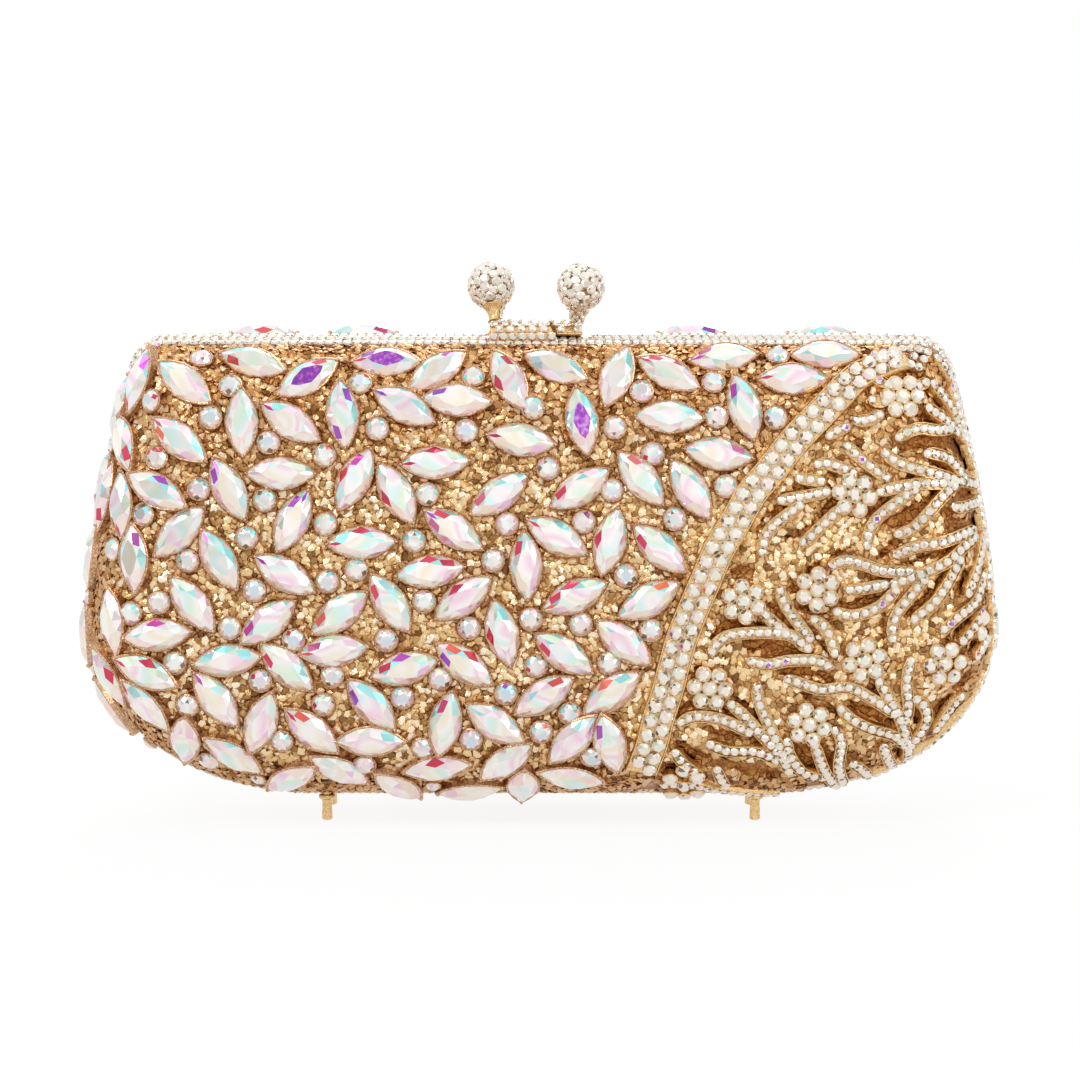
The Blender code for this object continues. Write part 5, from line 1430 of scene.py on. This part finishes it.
# Nuggets: flat crumpled lumps of pale gold, cast side by side all over the ground between the
# stones, with dark gaps between them.
NUGGET_PITCH = 0.00130
NUGGET_SIZE = 0.00212
LEAST_NUGGET = (0.70, 0.65, 0.55)
MOST_NUGGET = (1.30, 1.05, 0.95)
NUGGETS_PER_SQUARE_METRE = 2500000.0
LEAST_BARE = 0.35
nugget_tree, given = new_tree(
    "scatter_nuggets", ("Shape", "NodeSocketObject", None), ("Pitch", "NodeSocketFloat", NUGGET_PITCH),
    ("Size", "NodeSocketFloat", NUGGET_SIZE), ("Seed", "NodeSocketInt", 5),
    ("Material", "NodeSocketMaterial", None))
tree = nugget_tree
bare = maths(tree, "SUBTRACT", named(tree, "relief"), named(tree, "covered"))
bare = maths(tree, "SUBTRACT", bare, times(tree, named(tree, "hollow"), 1.6))
scattered = add(tree, "GeometryNodeDistributePointsOnFaces",
                {"Mesh": given["Geometry"], "Selection": maths(tree, "GREATER_THAN", bare, LEAST_BARE),
                 "Distance Min": given["Pitch"], "Density Max": NUGGETS_PER_SQUARE_METRE,
                 "Seed": given["Seed"]}, distribute_method="POISSON").outputs
shape = add(tree, "GeometryNodeObjectInfo", {"Object": given["Shape"]})
each = add(tree, "GeometryNodeInputIndex").outputs[0]
spin, growth = (add(tree, "FunctionNodeRandomValue", {0: least, 1: most, "ID": each, "Seed": given["Seed"]},
                    data_type="FLOAT_VECTOR").outputs[0]
                for least, most in (((-0.42, -0.42, 0.0), (0.42, 0.42, 6.28)), (LEAST_NUGGET, MOST_NUGGET)))
turn = add(tree, "FunctionNodeEulerToRotation", {0: spin}).outputs[0]
laid = add(tree, "FunctionNodeRotateRotation", {"Rotation": scattered["Rotation"], "Rotate By": turn},
           rotation_space="LOCAL").outputs[0]
placed = add(tree, "GeometryNodeInstanceOnPoints",
             {"Points": scattered["Points"], "Instance": shape.outputs["Geometry"], "Rotation": laid,
              "Scale": vectors(tree, "SCALE", {0: growth, "Scale": given["Size"]})}).outputs[0]
tint = chance(tree, maths(tree, "ADD", given["Seed"], 2.0))
end_tree(tree, given, real(tree, marked(tree, placed, "tint", tint, "INSTANCE")))

nugget_gold, tree, shader = new_material("nugget_metal")
tone = ramp(tree, read(tree, "tint"), (0.0, (0.20, 0.09, 0.03, 1.0)), (0.16, (0.50, 0.29, 0.11, 1.0)),
            (0.36, (0.79, 0.55, 0.28, 1.0)), (0.72, (0.92, 0.73, 0.46, 1.0)), (1.0, (0.99, 0.90, 0.72, 1.0)))
tone = tinged(tree, tone, (0.50, 0.27, 0.11, 1.0), read(tree, "shadow"), 0.55)
tone = tinged(tree, tone, (0.34, 0.16, 0.06, 1.0), read(tree, "hollow"), 0.9)
# Painted shade: darker amber towards the rounded edges and under the rim
tone = tinged(tree, tone, EDGE_SHADE_TONE, read(tree, "edge_shade"), 0.8)
pits = add(tree, "ShaderNodeBump", {"Height": object_noise(tree, 2600.0, 2.0), "Strength": 0.6,
                                    "Distance": 0.0002}).outputs[0]
feed(tree, shader, {"Base Color": tone, "Metallic": 1.0, "Roughness": 0.24, "Normal": pits})

mesh = ball(1)
for k, vertex in enumerate(mesh.vertices):
    vertex.co = vertex.co.normalized() * (0.40 + 0.20 * math.fabs(math.sin(7.3 * k + 1.1)))
    vertex.co.z *= 0.55
nugget = lent("nugget", mesh)
ground = new_object("nugget_ground", bpy.data.objects["front_casting_shell"].data.copy())
on_both_halves("nuggets", grown(ground, nugget_tree, {"Shape": nugget, "Material": nugget_gold}),
               "casting")


# Linings: each half is lined with sand-coloured suede over a thin padding, glued in, with a rolled
# edge along the frame and a row of stitches beside it.
LINING_OFFSET = 0.0030
LINING_SKIN = 0.0010
LINING_COUNT = 300
LINING_RINGS = 12
LINING_PUFF = 0.00035
ROLL_RADIUS = 0.00070
ROLL_DEPTH = RIM_DEPTH + 0.0008
ROLL_OFFSET = 0.0043
ROLL_SIDES = 8
STITCH_TURN = 0.11
STITCH_PITCH = 0.0024
STITCH_RUN = 0.55
STITCH = (0.0015, 0.00042, 0.00035)

suede_group, given = shader_group("suede_nap", {"Nap scale": 900.0}, Nap="Float", Fibres="Float")
fibres = object_noise(suede_group, given["Nap scale"], 4.0, Roughness=0.75)
add(suede_group, "NodeGroupOutput", {"Nap": object_noise(suede_group, 38.0, 3.0), "Fibres": fibres})


def suede_material(name, dark, light, nap_scale=3200.0):
    """Brushed suede: patches of nap over fine fibres."""
    material, tree, shader = new_material(name)
    group = add(tree, "ShaderNodeGroup", {"Nap scale": nap_scale}, node_tree=suede_group).outputs
    mix = maths(tree, "ADD", times(tree, group["Nap"], 0.35), times(tree, group["Fibres"], 0.65))
    ridge = add(tree, "ShaderNodeBump", {"Height": group["Fibres"], "Strength": 0.5, "Distance": 0.0002})
    feed(tree, shader, {"Base Color": ramp(tree, mix, (0.32, dark), (0.66, light)), "Roughness": 0.92,
                        "Sheen Weight": 0.5, "Sheen Roughness": 0.45, "Normal": ridge.outputs[0]})
    return material


lining_suede = suede_material("lining_suede", (0.50, 0.36, 0.22, 1.0), (0.78, 0.62, 0.42, 1.0))
thread = suede_material("cream_thread", (0.62, 0.52, 0.38, 1.0), (0.86, 0.78, 0.64, 1.0), 5200.0)


def lining_puff(points):
    """How much the padding swells at each place: least at the rim and at the tacked bottom."""
    depth = np.clip((-points[:, 1] - RIM_DEPTH) / 0.008, 0.0, 1.0)
    wave = np.sin(points[:, 0] * 105.0) * np.sin(points[:, 2] * 120.0 + 0.6)
    return depth * LINING_PUFF * (0.55 + 0.45 * wave)


outer = skin_rings(LINING_OFFSET, LINING_COUNT, LINING_RINGS, LINING_RINGS)
inner = skin_rings(LINING_OFFSET + LINING_SKIN, LINING_COUNT, LINING_RINGS, LINING_RINGS)
for ring in inner:
    ring[:, 1] += lining_puff(ring)
mesh = tidy_mesh(loft(outer[::-1] + inner, closed=False))
mesh.shade_smooth()
for half in ("front", "back"):
    piece = on_half(half, "suede_lining", painted_mesh(mesh.copy(), lining_suede), "lining")

rim_line = case_outline(ROLL_OFFSET, LINING_COUNT)
ahead = headings_round(rim_line)
inwards = np.stack([-ahead[:, 1], ahead[:, 0]], 1)
rings = []
for turn in [2 * math.pi * k / ROLL_SIDES for k in range(ROLL_SIDES)]:
    ring = rim_line + inwards * (ROLL_RADIUS * math.cos(turn))
    depth = ROLL_DEPTH + ROLL_RADIUS * math.sin(turn)
    rings.append(np.stack([ring[:, 0], np.full(len(ring), -depth), ring[:, 1]], 1))
mesh = tidy_mesh(loft(rings))
mesh.shade_smooth()
on_both_halves("lining_roll", painted_mesh(mesh, lining_suede))

stitch = lent("stitch", ball(1))
ring = skin_ring(case_outline(LINING_OFFSET + LINING_SKIN, int(STITCH_RUN / STITCH_PITCH)), STITCH_TURN,
                 LINING_OFFSET + LINING_SKIN)
seats = []
for k, point in enumerate(ring):
    along = Vector(ring[(k + 1) % len(ring)] - ring[k - 1]).normalized()
    inward = Vector((0.0, 0.0, WIDEST_HEIGHT)) - Vector(point)
    inward.y = 0.0
    inward.normalize()
    seats.append((Vector(point) + inward * 0.0001, inward, along, STITCH))
on_both_halves("lining_stitches", set_stones(seats, stitch, thread))


# Slip pocket: a panel of the same suede on the back lining, sewn down on three sides, with a
# turned hem along its open top.
POCKET_WIDTH = 0.0900
POCKET_HEIGHT = 0.0420
POCKET_RISE = 0.0240
POCKET_CORNER = 0.0060
POCKET_WALL = 0.00055
POCKET_GAPE = 0.0011
HEM_HEIGHT = 0.0045
HEM_WALL = 0.00045
POCKET_STITCH_INSET = 0.0013


def pocket_depth(across, up):
    """Depth of the panel's face in its half's own frame, at shares across (-1 to 1) and up (0 to 1)."""
    height = POCKET_RISE + POCKET_HEIGHT * up
    rest = face_depth(np.array([height]))[0] - LINING_OFFSET - LINING_SKIN
    gape = POCKET_GAPE * (1 - across ** 4) * up ** 1.5
    return rest - 0.0003 - gape - 0.00012 * math.sin(9 * across + 4 * up)


def pocket_grid(low, wall, rows=18, columns=46):
    """The panel with rounded lower corners, from a height up, as a share of its own, and a wall."""
    points = []
    for row in range(rows + 1):
        up = low + (1 - low) * row / rows
        lift = POCKET_HEIGHT * up
        cut = max(POCKET_CORNER - lift, 0.0)
        half = POCKET_WIDTH / 2 - (POCKET_CORNER - math.sqrt(POCKET_CORNER ** 2 - cut ** 2))
        near, far = [], []
        for column in range(columns + 1):
            across = 2 * column / columns - 1
            depth = pocket_depth(across, up)
            near.append((half * across, -(depth - wall), POCKET_RISE + lift))
            far.append((half * across, -depth, POCKET_RISE + lift))
        points += near + far[::-1]
    sides = 2 * (columns + 1)
    faces = tube_faces(rows + 1, sides)
    for start in (0, rows * sides):
        faces += [(start + k, start + k + 1, start + sides - 2 - k, start + sides - 1 - k)
                  for k in range(columns)]
    return mesh_of(points, faces, 50, lining_suede)


panel = ride_half("slip_pocket_panel", pocket_grid(0.0, POCKET_WALL), "back", "slip_pocket")
hem_share = 1 - HEM_HEIGHT / POCKET_HEIGHT
hem = ride_half("slip_pocket_hem", pocket_grid(hem_share, POCKET_WALL + HEM_WALL, 4), "back",
                "slip_pocket")
seats = []
inset = POCKET_STITCH_INSET / POCKET_WIDTH * 2
rail = [(-1 + inset, up) for up in np.linspace(0.97, 0.16, 15)]
rail += [(across, 0.035) for across in np.linspace(-0.86, 0.86, 32)]
rail += [(1 - inset, up) for up in np.linspace(0.16, 0.97, 15)]
hem_row = [(across, hem_share + 0.012) for across in np.linspace(-0.97, 0.97, 36)]
for line, rise in ((rail, 0.0), (hem_row, HEM_WALL)):
    spots = [Vector((POCKET_WIDTH / 2 * across, rise + POCKET_WALL - pocket_depth(across, up),
                     POCKET_RISE + POCKET_HEIGHT * up)) for across, up in line]
    for k, spot in enumerate(spots):
        along = (spots[min(k + 1, len(spots) - 1)] - spots[max(k - 1, 0)]).normalized()
        seats.append((spot, Vector((0.0, 1.0, 0.0)), along, STITCH))
sewn = ride_half("slip_pocket_stitches", set_stones(seats, stitch, thread), "back")


# Feet, screws, nuts and pin: turned brass pegs plated like the case, slotted steel screws, and the
# steel nuts and hinge pin of the CAD model with a brushed finish.
FOOT_PLACES = ((-0.0487, -0.0100), (0.0487, -0.0100))
COLLAR_RADIUS = 0.0019
STEEL_DARK = (0.32, 0.31, 0.30, 1.0)
STEEL_LIGHT = (0.62, 0.61, 0.59, 1.0)
brushed_steel = gold_material("brushed_steel", 3000.0, 0.04, 0.06, STEEL_LIGHT, STEEL_DARK, 0.28,
                              0.00002, pale=(0.72, 0.71, 0.69, 1.0))


def foot_profile(top, collar):
    """A stud, a rounded collar against the casting, and a peg with a domed end on the ground."""
    profile = [(0.0008, top), (0.0008, collar)]
    profile += [(COLLAR_RADIUS - 0.00025 * (1 - math.sin(turn)), collar - 0.00025 * (1 - math.cos(turn)))
                for turn in (0.0, 0.8, 1.57)]
    profile += [(COLLAR_RADIUS, collar - 0.0008), (0.0016, collar - 0.00105),
                (0.00125, collar - 0.0012)]
    profile += [(0.0011, collar - 0.0016), (0.0012, 0.0008)]
    profile += [(0.0012 * math.cos(turn) + 0.00002, 0.0005 - 0.0005 * math.sin(turn))
                for turn in (0.25, 0.6, 0.95, 1.3, 1.5)]
    return profile


floor_skin = skin_tree(0.0)
for half in ("front", "back"):
    for foot, (x, y) in zip(("left", "right"), FOOT_PLACES):
        below, normal, _, _ = floor_skin.ray_cast(Vector((x, y, -0.002)), Vector((0.0, 0.0, 1.0)))
        slope = math.hypot(normal.x, normal.y) / abs(normal.z)
        collar = below.z - slope * COLLAR_RADIUS - 0.0003
        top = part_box(half + "_foot_" + foot)[1][2]
        mesh = turned(foot_profile(top, collar), 28, (x, y), polished_gold)
        on_half(half, "peg_" + foot, mesh, "foot_" + foot)
        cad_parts[half + "_foot_nut_" + foot].material_slots[0].material = brushed_steel
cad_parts["hinge_pin"].material_slots[0].material = brushed_steel
SLOT_HALF = 0.00018
SLOT_DEPTH = 0.0003
SLOT_TURN = 0.6
HEAD_RADIUS = 0.0011
for half in ("front", "back"):
    for number in (1, 2, 3):
        node = "hinge_screw_" + str(number)
        low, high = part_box(half + "_" + node)
        x, y, _ = box_middle(half, node)
        top = high[2]
        profile = [(0.0002, top), (HEAD_RADIUS * 0.6, top - 0.00004), (HEAD_RADIUS * 0.9, top - 0.00016),
                   (HEAD_RADIUS, top - 0.00034), (HEAD_RADIUS, top - 0.0006), (0.0005, top - 0.0006),
                   (0.0005, low[2] + 0.0004), (0.0002, low[2])]
        mesh = turned(profile, 24, (x, y), brushed_steel)
        shape = bmesh.new()
        shape.from_mesh(mesh)
        middle = Vector((x, y, top))
        beside = Vector((-math.sin(SLOT_TURN * number), math.cos(SLOT_TURN * number), 0.0))
        for offset in (-SLOT_HALF, SLOT_HALF):
            geometry = shape.verts[:] + shape.edges[:] + shape.faces[:]
            bmesh.ops.bisect_plane(shape, geom=geometry, dist=1e-7, plane_co=middle + beside * offset,
                                   plane_no=beside)
        for vertex in shape.verts:
            if abs((vertex.co - middle).dot(beside)) < SLOT_HALF * 0.9 and vertex.co.z > top - 0.0005:
                vertex.co.z -= SLOT_DEPTH
        shape.to_mesh(mesh)
        shape.free()
        on_half(half, "slotted_screw_" + str(number), mesh, node)


for shape in lent_shapes:
    bpy.data.objects.remove(shape, do_unlink=True)
